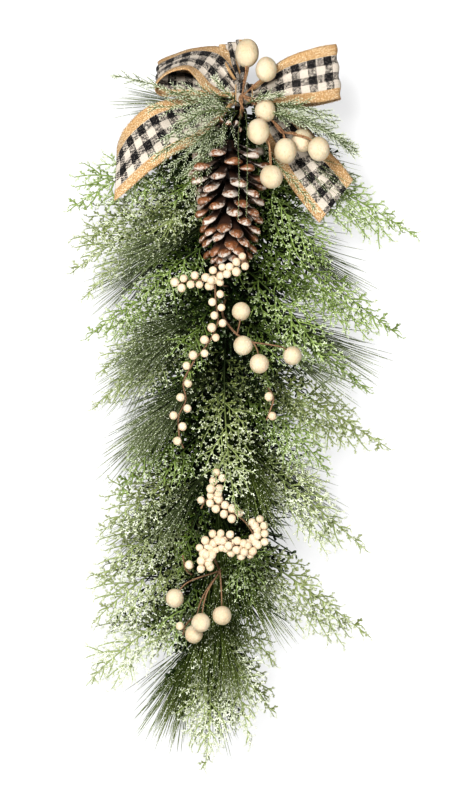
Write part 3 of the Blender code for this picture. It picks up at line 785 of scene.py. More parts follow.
class Shape:
    """Points and faces gathered for one mesh, with named numbers on its points."""

    def __init__(self) -> None:
        """Starts with nothing."""
        self.points: list[Vector] = []
        self.faces: list[tuple[int, ...]] = []
        self.edges: list[tuple[int, int]] = []
        self.numbers: dict[str, list[float]] = {}
        self.vectors: dict[str, list[Vector]] = {}

    def point(self, place: Vector, vectors: dict[str, Vector] | None = None, **numbers: float) -> int:
        """Adds a point and the values kept on it, and gives its index.

        Args:
            place: Where it is.
            vectors: The vectors kept on it.
            numbers: The numbers kept on it.

        Returns:
            Its index.
        """
        for name, number in numbers.items():
            self.numbers.setdefault(name, []).append(number)
        for name, vector in (vectors or {}).items():
            self.vectors.setdefault(name, []).append(vector)
        self.points.append(place)
        return len(self.points) - 1

    def line(self, path: Sequence[Vector], **numbers: Ends) -> None:
        """Adds a line of edges along which each number runs from its first value to its second.

        Args:
            path: The line.
            numbers: Each number's first and last value.
        """
        start = len(self.points)
        for index, place in enumerate(path):
            share = index / (len(path) - 1)
            self.point(place, **{name: mix(low, high, share) for name, (low, high) in numbers.items()})
        self.edges += [(start + index, start + index + 1) for index in range(len(path) - 1)]

    def twig(self, path: Sequence[Vector], girth: Ends, leaf: Ends, frost: Ends, tone: Ends) -> None:
        """Adds a twig's line.

        Args:
            path: The line.
            girth: Its radius at both ends, in mm.
            leaf: The length of its leaves at both ends, in mm.
            frost: The frost at both ends.
            tone: The brightness at both ends, a random tone with painted shade in it.
        """
        girth, leaf = ((start * MM, end * MM) for start, end in (girth, leaf))
        self.line(path, girth=girth, leaf=leaf, frost=frost, tone=tone)

    def skin(self, rings: Sequence[Sequence[int]], closed: bool = True, capped: bool = True) -> None:
        """Adds the faces between each row of points and the next.

        Args:
            rings: Each row's points, by index.
            closed: Whether a row's last point joins its first.
            capped: Whether the first and last rows are filled.
        """
        sides = len(rings[0])
        for low, high in zip(rings, rings[1:]):
            for step in range(sides if closed else sides - 1):
                after = (step + 1) % sides
                self.faces.append((low[step], low[after], high[after], high[step]))
        if capped:
            self.faces += [tuple(rings[0][::-1]), tuple(rings[-1])]

    def tube(self, path: Sequence[Vector], radii: Sequence[float], sides: int) -> None:
        """Adds a closed tube.

        Args:
            path: Its centre line.
            radii: Its radius at each point of the line.
            sides: How many sides it has.
        """
        rings = []
        normal = Vector((0, 1, 0))
        for index, centre in enumerate(path):
            along = (path[min(index + 1, len(path) - 1)] - path[max(index - 1, 0)]).normalized()
            normal = (normal - along * normal.dot(along)).normalized()
            across = along.cross(normal)
            rings.append(
                [
                    self.point(centre + (normal * math.cos(angle) + across * math.sin(angle)) * radii[index])
                    for angle in circle(sides)
                ]
            )
        self.skin(rings)

    def ball(self, centre: Vector, size: Vector, detail: int, dent: float, seed: int) -> None:
        """Adds a slightly uneven ball.

        Args:
            centre: Its centre.
            size: Its half-sizes.
            detail: How often its faces are divided.
            dent: How uneven it is, as a share of its size.
            seed: What sets its dents.
        """
        made = bmesh.new()
        bmesh.ops.create_icosphere(made, subdivisions=detail, radius=1.0)
        start = len(self.points)
        for vertex in made.verts:
            swell = 1 + dent * noise.noise(vertex.co * 1.3 + Vector((seed * 7.1, seed * 3.3, 0)))
            self.point(centre + Vector(a * b for a, b in zip(vertex.co, size)) * swell)
        self.faces += [tuple(start + vertex.index for vertex in face.verts) for face in made.faces]
        made.free()

    def piece(self, name: str, finish: bpy.types.Material | None = None) -> bpy.types.Object:
        """The mesh as an object at the origin, its faces outwards and shaded smooth.

        Args:
            name: The object's name.
            finish: Its material.

        Returns:
            The object, linked to the scene.
        """
        mesh = bpy.data.meshes.new(name)
        mesh.from_pydata([tuple(place) for place in self.points], self.edges, self.faces)
        for key, values in self.numbers.items():
            mesh.attributes.new(key, "FLOAT", "POINT").data.foreach_set("value", values)
        for key, values in self.vectors.items():
            flat = [number for vector in values for number in vector]
            mesh.attributes.new(key, "FLOAT_VECTOR", "POINT").data.foreach_set("vector", flat)
        if self.faces:
            shape = bmesh.new()
            shape.from_mesh(mesh)
            bmesh.ops.recalc_face_normals(shape, faces=shape.faces)
            for face in shape.faces:
                face.smooth = True
            shape.to_mesh(mesh)
            shape.free()
        if finish:
            mesh.materials.append(finish)
        return in_scene(name, mesh)

    def template(self, name: str) -> bpy.types.Object:
        """The mesh as a template's object, kept out of the scene.

        Args:
            name: Its name.

        Returns:
            The object.
        """
        made = self.piece(name)
        bpy.context.scene.collection.objects.unlink(made)
        return made


class Growth(NodeBook):
    """A Geometry Nodes tree that grows one kind of thing from lines or points, with named sizes."""

    def __init__(self, name: str, sizes: dict[str, float | int], seed: int, templates: int = 1) -> None:
        """Starts the tree.

        Args:
            name: The tree's name.
            sizes: Its sizes and their usual values.
            seed: What fixes its random draws.
            templates: How many templates it picks from.
        """
        super().__init__(bpy.data.node_groups.new(name, "GeometryNodeTree"))
        face = self.tree.interface
        face.new_socket("Geometry", in_out="INPUT", socket_type="NodeSocketGeometry")
        face.new_socket("Geometry", in_out="OUTPUT", socket_type="NodeSocketGeometry")
        self.identifiers = {}
        for size, usual in sizes.items():
            kind = "NodeSocketInt" if isinstance(usual, int) else "NodeSocketFloat"
            socket = face.new_socket(size, in_out="INPUT", socket_type=kind)
            socket.default_value = usual
            self.identifiers[size] = socket.identifier
        for size, kind in (
            *((f"Template {number}", "NodeSocketObject") for number in range(templates)),
            ("Finish", "NodeSocketMaterial"),
        ):
            self.identifiers[size] = face.new_socket(size, in_out="INPUT", socket_type=kind).identifier
        self.templates = templates
        self.entry = self.node("NodeGroupInput")
        self.seed = seed
        self.draws = 0

    def size(self, name: str) -> Value:
        """One of the tree's inputs."""
        return Value(self, self.entry.outputs[name])

    def named(self, name: str, kind: str = "FLOAT") -> Value:
        """A value kept on the geometry's points."""
        return self.value("GeometryNodeInputNamedAttribute", {"data_type": kind}, {"Name": name})

    def random(self, low: float, high: float) -> Value:
        """A number drawn for each point.

        Args:
            low: The least.
            high: The most.

        Returns:
            The number.
        """
        self.draws += 1
        inputs = {2: low, 3: high, 8: self.seed + self.draws}
        return self.value("FunctionNodeRandomValue", {"data_type": "FLOAT"}, inputs, output=1)

    def kept(self, geometry: Value, name: str, number: Value | float, domain: str = "POINT") -> Value:
        """The geometry with a number stored on it.

        Args:
            geometry: The geometry.
            name: The number's name.
            number: The number.
            domain: What carries it.

        Returns:
            The geometry.
        """
        return self.value(
            "GeometryNodeStoreNamedAttribute",
            {"data_type": "FLOAT", "domain": domain},
            {"Geometry": geometry, "Name": name, "Value": number},
        )

    def joined_vector(self, x: Value | float, y: Value | float, z: Value | float) -> Value:
        """A vector of three numbers."""
        return self.value("ShaderNodeCombineXYZ", inputs={0: x, 1: y, 2: z})

    def set_on(self, points: Value, heading: Value, facing: Value, scale: Value) -> Value:
        """Sets one of the templates on each point, with a shade of its own.

        Args:
            points: Where they go.
            heading: Which way each one's Z axis points.
            facing: Which way its Y axis leans.
            scale: Its scale.

        Returns:
            The instances.
        """
        turn = self.value(
            "FunctionNodeAxesToRotation",
            {"primary_axis": "Z", "secondary_axis": "Y"},
            {"Primary Axis": heading, "Secondary Axis": facing},
        )
        shelf = self.node("GeometryNodeJoinGeometry")
        for number in range(self.templates):
            template = self.value(
                "GeometryNodeObjectInfo",
                inputs={"Object": self.size(f"Template {number}"), "As Instance": True},
                output="Geometry",
            )
            self.tree.links.new(template.socket, shelf.inputs[0])
        made = self.value(
            "GeometryNodeInstanceOnPoints",
            inputs={
                "Points": points,
                "Instance": Value(self, shelf.outputs[0]),
                "Pick Instance": True,
                "Instance Index": self.random(0, self.templates - 0.001).math("FLOOR"),
                "Rotation": turn,
                "Scale": scale,
            },
        )
        return self.kept(made, "shade", self.random(0, 1), "INSTANCE")

    def bark(self, lines: Value, sides: int, capped: bool, along: float, shade: float) -> Value:
        """Bark round the lines.

        Args:
            lines: The curves that it follows, with their girth on them.
            sides: How many sides it has.
            capped: Whether its ends are filled.
            along: How far along a leaf it counts as, for the finish.
            shade: Its shade.

        Returns:
            The bark's mesh.
        """
        ring = self.value("GeometryNodeCurvePrimitiveCircle", inputs={"Resolution": sides, "Radius": 1.0})
        shape = {"Curve": lines, "Profile Curve": ring, "Scale": self.named("girth"), "Fill Caps": capped}
        made = self.value("GeometryNodeCurveToMesh", inputs=shape)
        return self.kept(self.kept(made, "along", along), "shade", shade)

    def end(self, *parts: Value) -> None:
        """Joins the parts, makes them real and gives them their finish.

        Args:
            parts: The geometry to join.
        """
        joined = self.node("GeometryNodeJoinGeometry")
        for part in parts:
            self.tree.links.new(part.socket, joined.inputs[0])
        real = self.value("GeometryNodeRealizeInstances", inputs={"Geometry": Value(self, joined.outputs[0])})
        dressed = self.value(
            "GeometryNodeSetMaterial", inputs={"Geometry": real, "Material": self.size("Finish")}
        )
        out = self.node("NodeGroupOutput")
        self.tree.links.new(dressed.socket, out.inputs[0])

    def grow(
        self,
        seedling: bpy.types.Object,
        templates: Sequence[bpy.types.Object],
        finish: bpy.types.Material,
        sizes: dict[str, float | int] | None = None,
    ) -> bpy.types.Object:
        """Grows the tree's thing from an object's lines or points.

        Args:
            seedling: The lines or points, which are used up.
            templates: What is set on them, which stays.
            finish: The material.
            sizes: The sizes that differ from the usual ones.

        Returns:
            One object with a plain mesh.
        """
        modifier = seedling.modifiers.new(self.tree.name, "NODES")
        modifier.node_group = self.tree
        shelf = {f"Template {number}": template for number, template in enumerate(templates)}
        for size, value in {**(sizes or {}), **shelf, "Finish": finish}.items():
            modifier[self.identifiers[size]] = value
        bpy.context.view_layer.update()
        graph = bpy.context.evaluated_depsgraph_get()
        mesh = bpy.data.meshes.new_from_object(seedling.evaluated_get(graph), depsgraph=graph)
        name = seedling.name
        bpy.data.objects.remove(seedling)
        mesh.name = name
        mesh.polygons.foreach_set("use_smooth", [True] * len(mesh.polygons))
        return in_scene(name, mesh)


class LeafyGrowth(Growth):
    """Twigs with leaflets set alternately along them. Points carry girth, leaf, frost and a brightness that
    holds painted shade.
    """

    def __init__(self) -> None:
        """Builds the tree."""
        sizes = {"Spacing": 4.9 * MM, "Width": 0.95, "Angle": 0.64, "Roll": 0.06}
        super().__init__("leafy_growth", sizes, seed=11, templates=len(LOBES))
        twigs = self.value("GeometryNodeMeshToCurve", inputs={"Mesh": self.size("Geometry")})
        bark = self.bark(twigs, 4, False, 0.0, 0.5)
        spots = self.node(
            "GeometryNodeCurveToPoints", {"mode": "LENGTH"}, {"Curve": twigs, "Length": self.size("Spacing")}
        )
        points, tangent = Value(self, spots.outputs["Points"]), Value(self, spots.outputs["Tangent"])
        bare = self.named("leaf").math("LESS_THAN", SHORTEST_LEAF)
        points = self.value(
            "GeometryNodeDeleteGeometry", {"domain": "POINT"}, {"Geometry": points, "Selection": bare}
        )
        index = self.value("GeometryNodeInputIndex")
        side = (index % 2.0) * 2.0 - 1.0
        facing = self.joined_vector(
            self.random(-1, 1) * self.size("Roll"), -1.0, self.random(-1, 1) * self.size("Roll")
        )
        across = self.vector("NORMALIZE", self.vector("CROSS_PRODUCT", facing, tangent))
        angle = self.size("Angle") * self.random(0.9, 1.1)
        onwards = self.scaled(tangent, angle.math("COSINE"))
        heading = self.vector("ADD", onwards, self.scaled(across, angle.math("SINE") * side))
        heading = self.vector("ADD", heading, self.scaled(facing, self.random(-0.05, 0.2)))
        length = self.named("leaf") * self.random(0.85, 1.12)
        width = length * self.size("Width") * self.random(0.9, 1.12)
        self.end(bark, self.set_on(points, heading, facing, self.joined_vector(width, width, length)))


class NeedleGrowth(Growth):
    """Long needles that fan out round a core. Points carry girth, share, frost and a brightness that holds
    painted shade.
    """

    def __init__(self) -> None:
        """Builds the tree."""
        sizes = {"Count": 220, "Length": 90 * MM, "Lean": 0.42, "Flat": 0.3, "First": 0.2, "Width": 1.0}
        super().__init__("needle_growth", sizes, seed=23)
        core = self.value("GeometryNodeMeshToCurve", inputs={"Mesh": self.size("Geometry")})
        bark = self.bark(core, 6, True, 0.1, 0.3)
        spots = self.node(
            "GeometryNodeCurveToPoints", {"mode": "COUNT"}, {"Curve": core, "Count": self.size("Count")}
        )
        points, along = Value(self, spots.outputs["Points"]), Value(self, spots.outputs["Tangent"])
        share = self.named("share")
        points = self.value(
            "GeometryNodeDeleteGeometry",
            {"domain": "POINT"},
            {"Geometry": points, "Selection": share.math("LESS_THAN", self.size("First"))},
        )
        index = self.value("GeometryNodeInputIndex")
        turn = index * GOLDEN_ANGLE + self.random(-0.4, 0.4)
        across = self.vector("NORMALIZE", self.vector("CROSS_PRODUCT", along, (0.0, 1.0, 0.0)))
        over = self.vector("CROSS_PRODUCT", across, along)
        lean = self.size("Lean") * self.random(0.35, 1.25) * (1.5 - share * 0.7)
        sideways = self.scaled(across, turn.math("COSINE"))
        out = self.vector("ADD", sideways, self.scaled(over, turn.math("SINE") * self.size("Flat")))
        heading = self.vector("NORMALIZE", self.vector("ADD", along, self.scaled(out, lean)))
        length = self.size("Length") * self.random(0.72, 1.06)
        place = self.node("ShaderNodeSeparateXYZ", inputs={0: self.value("GeometryNodeInputPosition")})
        way = self.node("ShaderNodeSeparateXYZ", inputs={0: heading})
        room = (Value(self, place.outputs[1]) * -1.0 + DEEPEST_NEEDLE_Y) / length
        heading = self.joined_vector(
            Value(self, way.outputs[0]),
            Value(self, way.outputs[1]).math("MINIMUM", room),
            Value(self, way.outputs[2]),
        )
        facing = self.joined_vector(self.random(-1, 1), self.random(-1, 1), self.random(-1, 1))
        width = self.size("Width") * self.random(0.8, 1.15)
        self.end(bark, self.set_on(points, heading, facing, self.joined_vector(width, width, length)))


class SpotGrowth(Growth):
    """A template set on points that carry heading, facing and scale, such as cone scales or a fringe."""

    def __init__(self) -> None:
        """Builds the tree."""
        super().__init__("spot_growth", {}, seed=37)
        ways = (self.named(name, "FLOAT_VECTOR") for name in ("heading", "facing", "scale"))
        self.end(self.set_on(self.size("Geometry"), *ways))


LOBES = ((0.22, 0.48, 0.72), (0.16, 0.40, 0.64), (0.30, 0.58), (0.20, 0.46, 0.70))


class Workshop:
    """What every sub-assembly shares: finishes, growth trees, templates and what to keep clear of."""

    def __init__(self, nodes: dict[str, bpy.types.Object]) -> None:
        """Makes the shared things.

        Args:
            nodes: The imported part's objects, by node.
        """
        self.palette = Palette()
        self.leafy = LeafyGrowth()
        self.needly = NeedleGrowth()
        self.spots = SpotGrowth()
        self.twiglets = [self._twiglet(f"twiglet_{n}", lobes) for n, lobes in enumerate(LOBES)]
        self.leaflet = self._leaflet()
        self.needle = self._needle()
        self.plain_needle = self._plain_needle()
        self.obstacles = [
            self._tree_of(nodes[name])
            for name in nodes
            if name.startswith(("bow_", "pine_cone", "berry_pick")) and name != "bow_wire"
        ]

    @staticmethod
    def _tree_of(obj: bpy.types.Object) -> BVHTree:
        """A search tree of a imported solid's faces.

        Args:
            obj: The solid.

        Returns:
            The tree.
        """
        mesh = obj.data
        places = [obj.matrix_world @ vertex.co for vertex in mesh.vertices]
        return BVHTree.FromPolygons(places, [tuple(face.vertices) for face in mesh.polygons])

    def is_clear(self, place: Vector, distance: float) -> bool:
        """Whether a point is further than a distance from the bow, the cone and the berries."""
        return all(tree.find_nearest(place, distance)[0] is None for tree in self.obstacles)

    def clear_path(self, path: list[Vector], distance: float) -> list[Vector]:
        """The part of a path before it comes too near the bow, the cone or the berries.

        Args:
            path: The path.
            distance: How near is too near.

        Returns:
            The points that are kept.
        """
        for index, place in enumerate(path):
            if index > 1 and not self.is_clear(place, distance):
                return path[:index]
        return path

    @staticmethod
    def _club(shape: Shape, foot: Vector, tip: Vector, half: float, start: float) -> None:
        """Adds one plump three-sided lobe, closed to a point at both ends.

        Args:
            shape: Where it goes.
            foot: Its lower end.
            tip: Its upper end.
            half: Half its width.
            start: How far along the leaf its foot counts as, for the finish.
        """
        way = (tip - foot).normalized()
        side = way.cross(Vector((0, 1, 0))).normalized()
        over = side.cross(way)
        low, high = shape.point(foot, along=start), shape.point(tip, along=1.0)
        near, far = (
            [
                shape.point(foot.lerp(tip, t) + (side * x + over * y) * half * wide, along=mix(start, 1.0, t))
                for x, y in ((1.0, -0.35), (-1.0, -0.35), (0.0, 0.75))
            ]
            for t, wide in ((0.2, 0.72), (0.8, 1.0))
        )
        for step in range(3):
            after = (step + 1) % 3
            shape.faces.append((low, near[after], near[step]))
            shape.faces.append((near[step], near[after], far[after], far[step]))
            shape.faces.append((far[step], far[after], high))

    @staticmethod
    def _twiglet(name: str, lobes: Sequence[float]) -> bpy.types.Object:
        """One flat cedar twiglet of unit length along Z, with lobes to both sides in turn.

        Args:
            name: Its name.
            lobes: Each side lobe's height on the stalk.

        Returns:
            The template.
        """
        shape = Shape()
        Workshop._club(shape, Vector((0, 0, -0.1)), Vector((0, 0.02, 0.95)), 0.082, 0.15)
        Workshop._club(shape, Vector((0, 0.01, 0.66)), Vector((0.02, 0.05, 1.1)), 0.11, 0.45)
        for number, height in enumerate(lobes):
            side = 1 if number % 2 else -1
            foot = Vector((0, 0, height))
            tip = foot + Vector((side * 0.64, 0.2, 0.74)) * (0.46 - 0.16 * height)
            Workshop._club(shape, foot, tip, 0.102, 0.35)
        return shape.template(name)

    @staticmethod
    def _leaflet() -> bpy.types.Object:
        """One plain leaflet of unit length along Z and unit width.

        Returns:
            The template.
        """
        shape = Shape()
        Workshop._club(shape, Vector((0, 0, 0)), Vector((0, 0, 1)), 0.5, 0.15)
        return shape.template("leaflet")

    @staticmethod
    def _plain_needle() -> bpy.types.Object:
        """One long plain needle of unit length, along Z.

        Returns:
            The template.
        """
        shape = Shape()
        low, high = (
            [
                shape.point(
                    Vector((half * math.cos(angle), half * math.sin(angle), place)), along=0.3 + 0.6 * place
                )
                for angle in circle(3)
            ]
            for place, half in ((0.0, 0.5 * MM), (0.75, 0.45 * MM))
        )
        tip = shape.point(Vector((0, 0, 1)), along=1.0)
        for step in range(3):
            after = (step + 1) % 3
            shape.faces.append((low[step], low[after], high[after], high[step]))
            shape.faces.append((high[step], high[after], tip))
        return shape.template("plain_needle_template")

    @staticmethod
    def _needle() -> bpy.types.Object:
        """One long needle of unit length, along Z, a little bent, with crumbs of frost on it.

        Returns:
            The template.
        """
        shape = Shape()
        rings = []
        for place, half in ((0.0, 0.36 * MM), (0.45, 0.40 * MM), (0.85, 0.28 * MM)):
            row = []
            for angle in circle(3):
                x, y = half * math.cos(angle), half * math.sin(angle) + NEEDLE_SAG * place**2
                row.append(shape.point(Vector((x, y, place)), along=0.1 + 0.6 * place, crumb=0.0))
            rings.append(row)
        tip = shape.point(Vector((0, NEEDLE_SAG, 1)), along=0.7, crumb=0.0)
        shape.skin(rings, capped=False)
        shape.faces += [(rings[-1][step], rings[-1][(step + 1) % 3], tip) for step in range(3)]
        for place, size in ((0.38, 0.6), (0.52, 0.75), (0.64, 0.6), (0.76, 0.75), (0.88, 0.6)):
            centre = Vector((0.2 * MM, NEEDLE_SAG * place**2 + 0.25 * MM, place))
            corners = [
                shape.point(centre + Vector((x * size * MM, y * size * MM, z * 0.014)), along=1.0, crumb=1.0)
                for x, y, z in ((1, 0.4, 0), (-0.5, 0.9, 0.4), (-0.4, -0.8, -0.3), (0, 0, 1))
            ]
            for trio in ((0, 1, 3), (1, 2, 3), (2, 0, 3), (0, 2, 1)):
                shape.faces.append(tuple(corners[corner] for corner in trio))
        return shape.template("needle_template")

    def clear_away(self) -> None:
        """Removes the templates when everything has grown."""
        for made in (*self.twiglets, self.leaflet, self.needle, self.plain_needle):
            bpy.data.objects.remove(made)


def seated(piece: bpy.types.Object, slot: str, *nodes: str) -> bpy.types.Object:
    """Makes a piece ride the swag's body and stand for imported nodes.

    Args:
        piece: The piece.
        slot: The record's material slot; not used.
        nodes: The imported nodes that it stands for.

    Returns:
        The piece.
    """
    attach(piece, "root")
    if nodes:
        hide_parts(*nodes)
    faces = sum(len(face.vertices) - 2 for face in piece.data.polygons)
    log.info("%s: %d triangles", piece.name, faces)
    return piece


@dataclass
class InnerMass:
    """Short greenery packed round the main stem, painted near black as shade."""

    top_z: float = -46
    end_z: float = -630
    step: float = 6.5
    droop: float = 8
    taper: float = 0.35
    seed: int = 31

    def build(self, shop: Workshop) -> bpy.types.Object:
        """Grows the mass.

        Args:
            shop: What the sub-assemblies share.

        Returns:
            The piece.
        """
        draw = random.Random(self.seed)
        shape = Shape()
        z, side = self.top_z, 1
        while z > self.end_z:
            root = Vector((stem_x(z * MM), STEM_Y - draw.uniform(1, 9) * MM, z * MM))
            taper = 1 - self.taper * smoothstep(TAPER_FROM_Z, TAPER_TO_Z, z * MM)
            reach = draw.uniform(34, 58) * MM * taper
            slant = draw.uniform(0.25, 1.25)
            way = Vector((side * math.sin(slant), draw.uniform(-0.35, -0.05), -math.cos(slant)))
            droop = Vector((0, 0, -self.droop * MM))
            path = [root + way * reach * t + droop * t * t for t in (0, 0.25, 0.5, 0.75, 1)]
            path = shop.clear_path(path, MASS_CLEARANCE)
            if len(path) > 2:
                shape.twig(path, (0.9, 0.5), (11, 8), (0, 0), (0.4, 0.4))
            side = -side
            z -= self.step * draw.uniform(0.5, 0.9)
        made = shop.leafy.grow(
            shape.piece("inner_mass"),
            [shop.leaflet] * len(LOBES),
            shop.palette.greens[Green.INNER_CEDAR],
            {"Spacing": 3.0 * MM, "Width": 0.5, "Angle": 0.9, "Roll": 1.2},
        )
        return seated(made, "cedar_green")


@dataclass
class InnerNeedles:
    """Pine tufts down both sides of the stem, behind the cedar, painted near black as shade."""

    top_z: float = -58
    end_z: float = -530
    step: float = 24
    core: float = 44
    count: int = 46
    taper: float = 0.5
    seed: int = 41

    def build(self, shop: Workshop) -> bpy.types.Object:
        """Grows the tufts.

        Args:
            shop: What the sub-assemblies share.

        Returns:
            The piece.
        """
        draw = random.Random(self.seed)
        shape = Shape()
        z, side = self.top_z, 1
        while z > self.end_z:
            root = Vector((stem_x(z * MM), STEM_Y - 2 * MM, z * MM))
            taper = 1 - self.taper * smoothstep(TAPER_FROM_Z, TAPER_TO_Z, z * MM)
            slant = draw.uniform(0.55, 1.15)
            way = Vector((side * math.sin(slant), draw.uniform(-0.2, 0.0), -math.cos(slant)))
            path = [root + way * self.core * MM * taper * t for t in (0, 0.5, 1)]
            # painted shade: the tufts are darker near the stem
            shape.line(path, girth=(0.9 * MM, 0.6 * MM), share=(0, 1), frost=(0, 0), tone=(0.3, 0.7))
            side = -side
            z -= self.step * draw.uniform(0.35, 0.65)
        made = shop.needly.grow(
            shape.piece("pine_inner"),
            [shop.plain_needle],
            shop.palette.greens[Green.INNER_NEEDLE],
            {"Count": self.count, "Length": 56 * MM, "Lean": 0.8, "Flat": 0.25, "First": 0.05, "Width": 1.7},
        )
        return seated(made, "needle_green")


@dataclass
class CedarSpray:
    """A flat cedar spray: where it leaves the stem, where its tip reaches and how wide it is, in mm.

    Its bow is how far its rib arches, its lift how far it stands forward and its spacing how far apart
    its fronds are, in mm too. Its upper and lower shares say how wide each side of the rib is.
    """

    name: str
    root_z: float
    tip_x: float
    tip_z: float
    width: float
    bow: float
    frost: float = 0.3
    pale: bool = False
    lift: float = 0.0
    extra: bool = False
    depth: Depth = Depth.OUTER
    # The brightness at the tip and at the root: a tone of the spray's own, lowered as painted shade towards
    # the root, where other sprays overlap it, and on sprays in back layers
    tone: float = 0.85
    shaded_root_tone: float = 0.1
    upper: float = 1.0
    lower: float = 1.0
    spacing: float = 8.4
    leaf: float = 1.0

    def build(self, shop: Workshop) -> bpy.types.Object:
        """Grows the spray.

        Args:
            shop: What the sub-assemblies share.

        Returns:
            The piece.
        """
        inner = self.depth is Depth.INNER
        green = Green.PALE_CEDAR if self.pale else Green.CEDAR
        # painted shade: inner sprays are near black, except those rooted low where the swag hangs free
        if inner and self.root_z > FREE_END_Z / MM:
            green = Green.INNER_CEDAR
        sizes = {"Spacing": 4.2 * MM, "Width": 0.46, "Roll": 0.8, "Angle": 0.8}
        if not inner:
            sizes = {"Spacing": 4.9 * self.leaf * MM}
        leaflets = [shop.leaflet] * len(LOBES) if inner else shop.twiglets
        made = shop.leafy.grow(self._twigs(shop), leaflets, shop.palette.greens[green], sizes)
        return seated(made, "cedar_green", *([] if self.extra or inner else [self.name]))

    def _deep(self, flat: Vector, out: float = 0.0) -> Vector:
        """A point of the front view at the spray's depth.

        Args:
            flat: The point's X and Z.
            out: How much nearer the viewer it comes.

        Returns:
            The point in space.
        """
        y = foliage_y(flat.x, flat.y, self.root_z * MM) - self.lift * MM - out
        if self.depth is Depth.INNER:
            y = mix(STEM_Y, y, INNER_DEPTH_SHARE)
        sway = noise.noise(Vector((flat.x * 22, flat.y * 22, self.root_z * 0.05))) * FROND_SWAY
        y += sway * smoothstep(0, 40 * MM, (flat - self._root()).length)
        return Vector((flat.x, min(y, DEEPEST_LEAF_Y), flat.y))

    def _root(self) -> Vector:
        """The root in the front view."""
        return Vector((stem_x(self.root_z * MM), self.root_z * MM))

    def _rib(self, share: float) -> Vector:
        """A point of the arched rib in the front view.

        Args:
            share: How far along the rib it is.

        Returns:
            Its X and Z.
        """
        root, tip = self._root(), Vector((self.tip_x, self.tip_z)) * MM
        along = tip - root
        side = Vector((-along.y, along.x)).normalized()
        return root + along * share - side * self.bow * MM * 4 * share * (1 - share)

    def _twigs(self, shop: Workshop) -> bpy.types.Object:
        """The spray's rib, fronds and twiglets as lines.

        Args:
            shop: What the sub-assemblies share.

        Returns:
            The lines to grow from.
        """
        draw = random.Random(self.name)
        shape = Shape()
        rib = [self._deep(self._rib(step / 18)) for step in range(19)]
        # painted shade: the rib is darkest at its root, where other sprays overlap it
        root, middle, tip = self.shaded_root_tone * 0.4, (self.shaded_root_tone + self.tone) * 0.35, self.tone * 0.9
        if self.depth is Depth.INNER:
            shape.twig(rib, (1.3, 0.55), (0.0, 6.0), (0.0, self.frost), (root, tip))
        else:
            shape.twig(rib[:10], (1.3, 0.9), (0.0, 0.0), (0.0, 0.0), (root, middle))
            frost = self.frost * 0.4, self.frost * 1.1
            shape.twig(rib[9:], (0.9, 0.45), (9.5, 4.2), frost, (middle, tip))
        length = (self._rib(1.0) - self._root()).length
        count = round(length * 0.9 / (self.spacing * MM))
        for index in range(count):
            share = 0.08 + 0.9 * (index + draw.uniform(-0.25, 0.25)) / count
            self._frond(shop, shape, share, 1 if index % 2 else -1, draw)
        plain = self.extra or self.depth is Depth.INNER
        return shape.piece(self.name if plain else self.name.replace("cedar", "cedar_spray"))

    def _frond(self, shop: Workshop, shape: Shape, share: float, side: int, draw: random.Random) -> None:
        """One side frond and its twiglets.

        Args:
            shop: What the sub-assemblies share.
            shape: Where its lines go.
            share: How far along the rib it starts.
            side: The rib's side, 1 or -1.
            draw: Where its random numbers come from.
        """
        base, ahead = self._rib(share), self._rib(share + 0.02)
        along = (ahead - base).normalized()
        angle = math.radians(mix(56, 38, share)) + draw.uniform(-0.08, 0.08)
        across = Vector((-along.y, along.x)) * side
        full = math.sin(math.pi * min(1.0, share * 0.96 + 0.16)) ** 0.8
        full *= self.upper if across.y > 0 else self.lower
        reach = max(self.width * MM / 2 / math.sin(angle) * full * draw.uniform(0.70, 1.12), SHORTEST_FROND)
        tilt = draw.uniform(-7, 10) * MM
        path = []
        steps = max(4, round(reach / FROND_STEP))
        for step in range(steps + 1):
            t = step / steps
            turn = angle * (1 - 0.34 * t)
            heading = along * math.cos(turn) + across * math.sin(turn)
            flat = base + heading * reach * t
            path.append(self._deep(flat, tilt * t * t))
        path = shop.clear_path(path, FROND_CLEARANCE)
        if len(path) < 3:
            return
        frost = self.frost * draw.uniform(0.5, 1.4)
        # painted shade: fronds near the root are darker, where other sprays overlap them, with a random tone
        # on top
        tone = mix(self.shaded_root_tone, self.tone, smoothstep(0.05, 0.8, share)) * draw.uniform(0.62, 1.15)
        # painted shade: fronds on the upper side near the stem, under the spray above, lose brightness and
        # frost
        if across.y > 0.4:
            far = smoothstep(25 * MM, 65 * MM, abs(base.x - stem_x(base.y)))
            overlap_shade = mix(0.5, 1.0, max(far, smoothstep(0.45, 0.9, share)))
            tone *= overlap_shade
            frost *= overlap_shade
        tone_and_shade_ends = tone * 0.9, min(1.0, tone * 1.3)
        kept = len(path) / (steps + 1)
        if self.depth is Depth.INNER:
            shape.twig(path, (0.95, 0.55), (8.5, 5.6), (0.0, frost), tone_and_shade_ends)
            return
        leaf = mix(11.5, 7.5, share * share) * self.leaf
        shape.twig(path, (1.0, 0.5), (leaf, leaf * 0.52), (frost * 0.3, frost), tone_and_shade_ends)
        twigs = round(reach * kept / TWIG_PITCH) if reach > TWIGGY_FROND else 0
        for number in range(twigs):
            t = 0.2 + 0.5 * (number + draw.uniform(-0.2, 0.2)) / twigs
            foot, way = on_path(path, t)
            hand = 1 if number % 2 else -1
            out = way.cross(Vector((0, -1, 0))).normalized() * hand
            lean = draw.uniform(0.55, 0.75)
            span = mix(22, 14, t) * MM * draw.uniform(0.8, 1.2)
            heading = way * math.cos(lean) + out * math.sin(lean) + Vector((0, draw.uniform(-0.35, 0.05), 0))
            tip = foot + heading * span + way * span * 0.2
            middle = (foot + tip) / 2 + out * span * 0.06
            frosts = frost * 0.5, frost * 1.3
            shape.twig([foot, middle, tip], (0.75, 0.5), (leaf * 0.8, leaf * 0.42), frosts, tone_and_shade_ends)


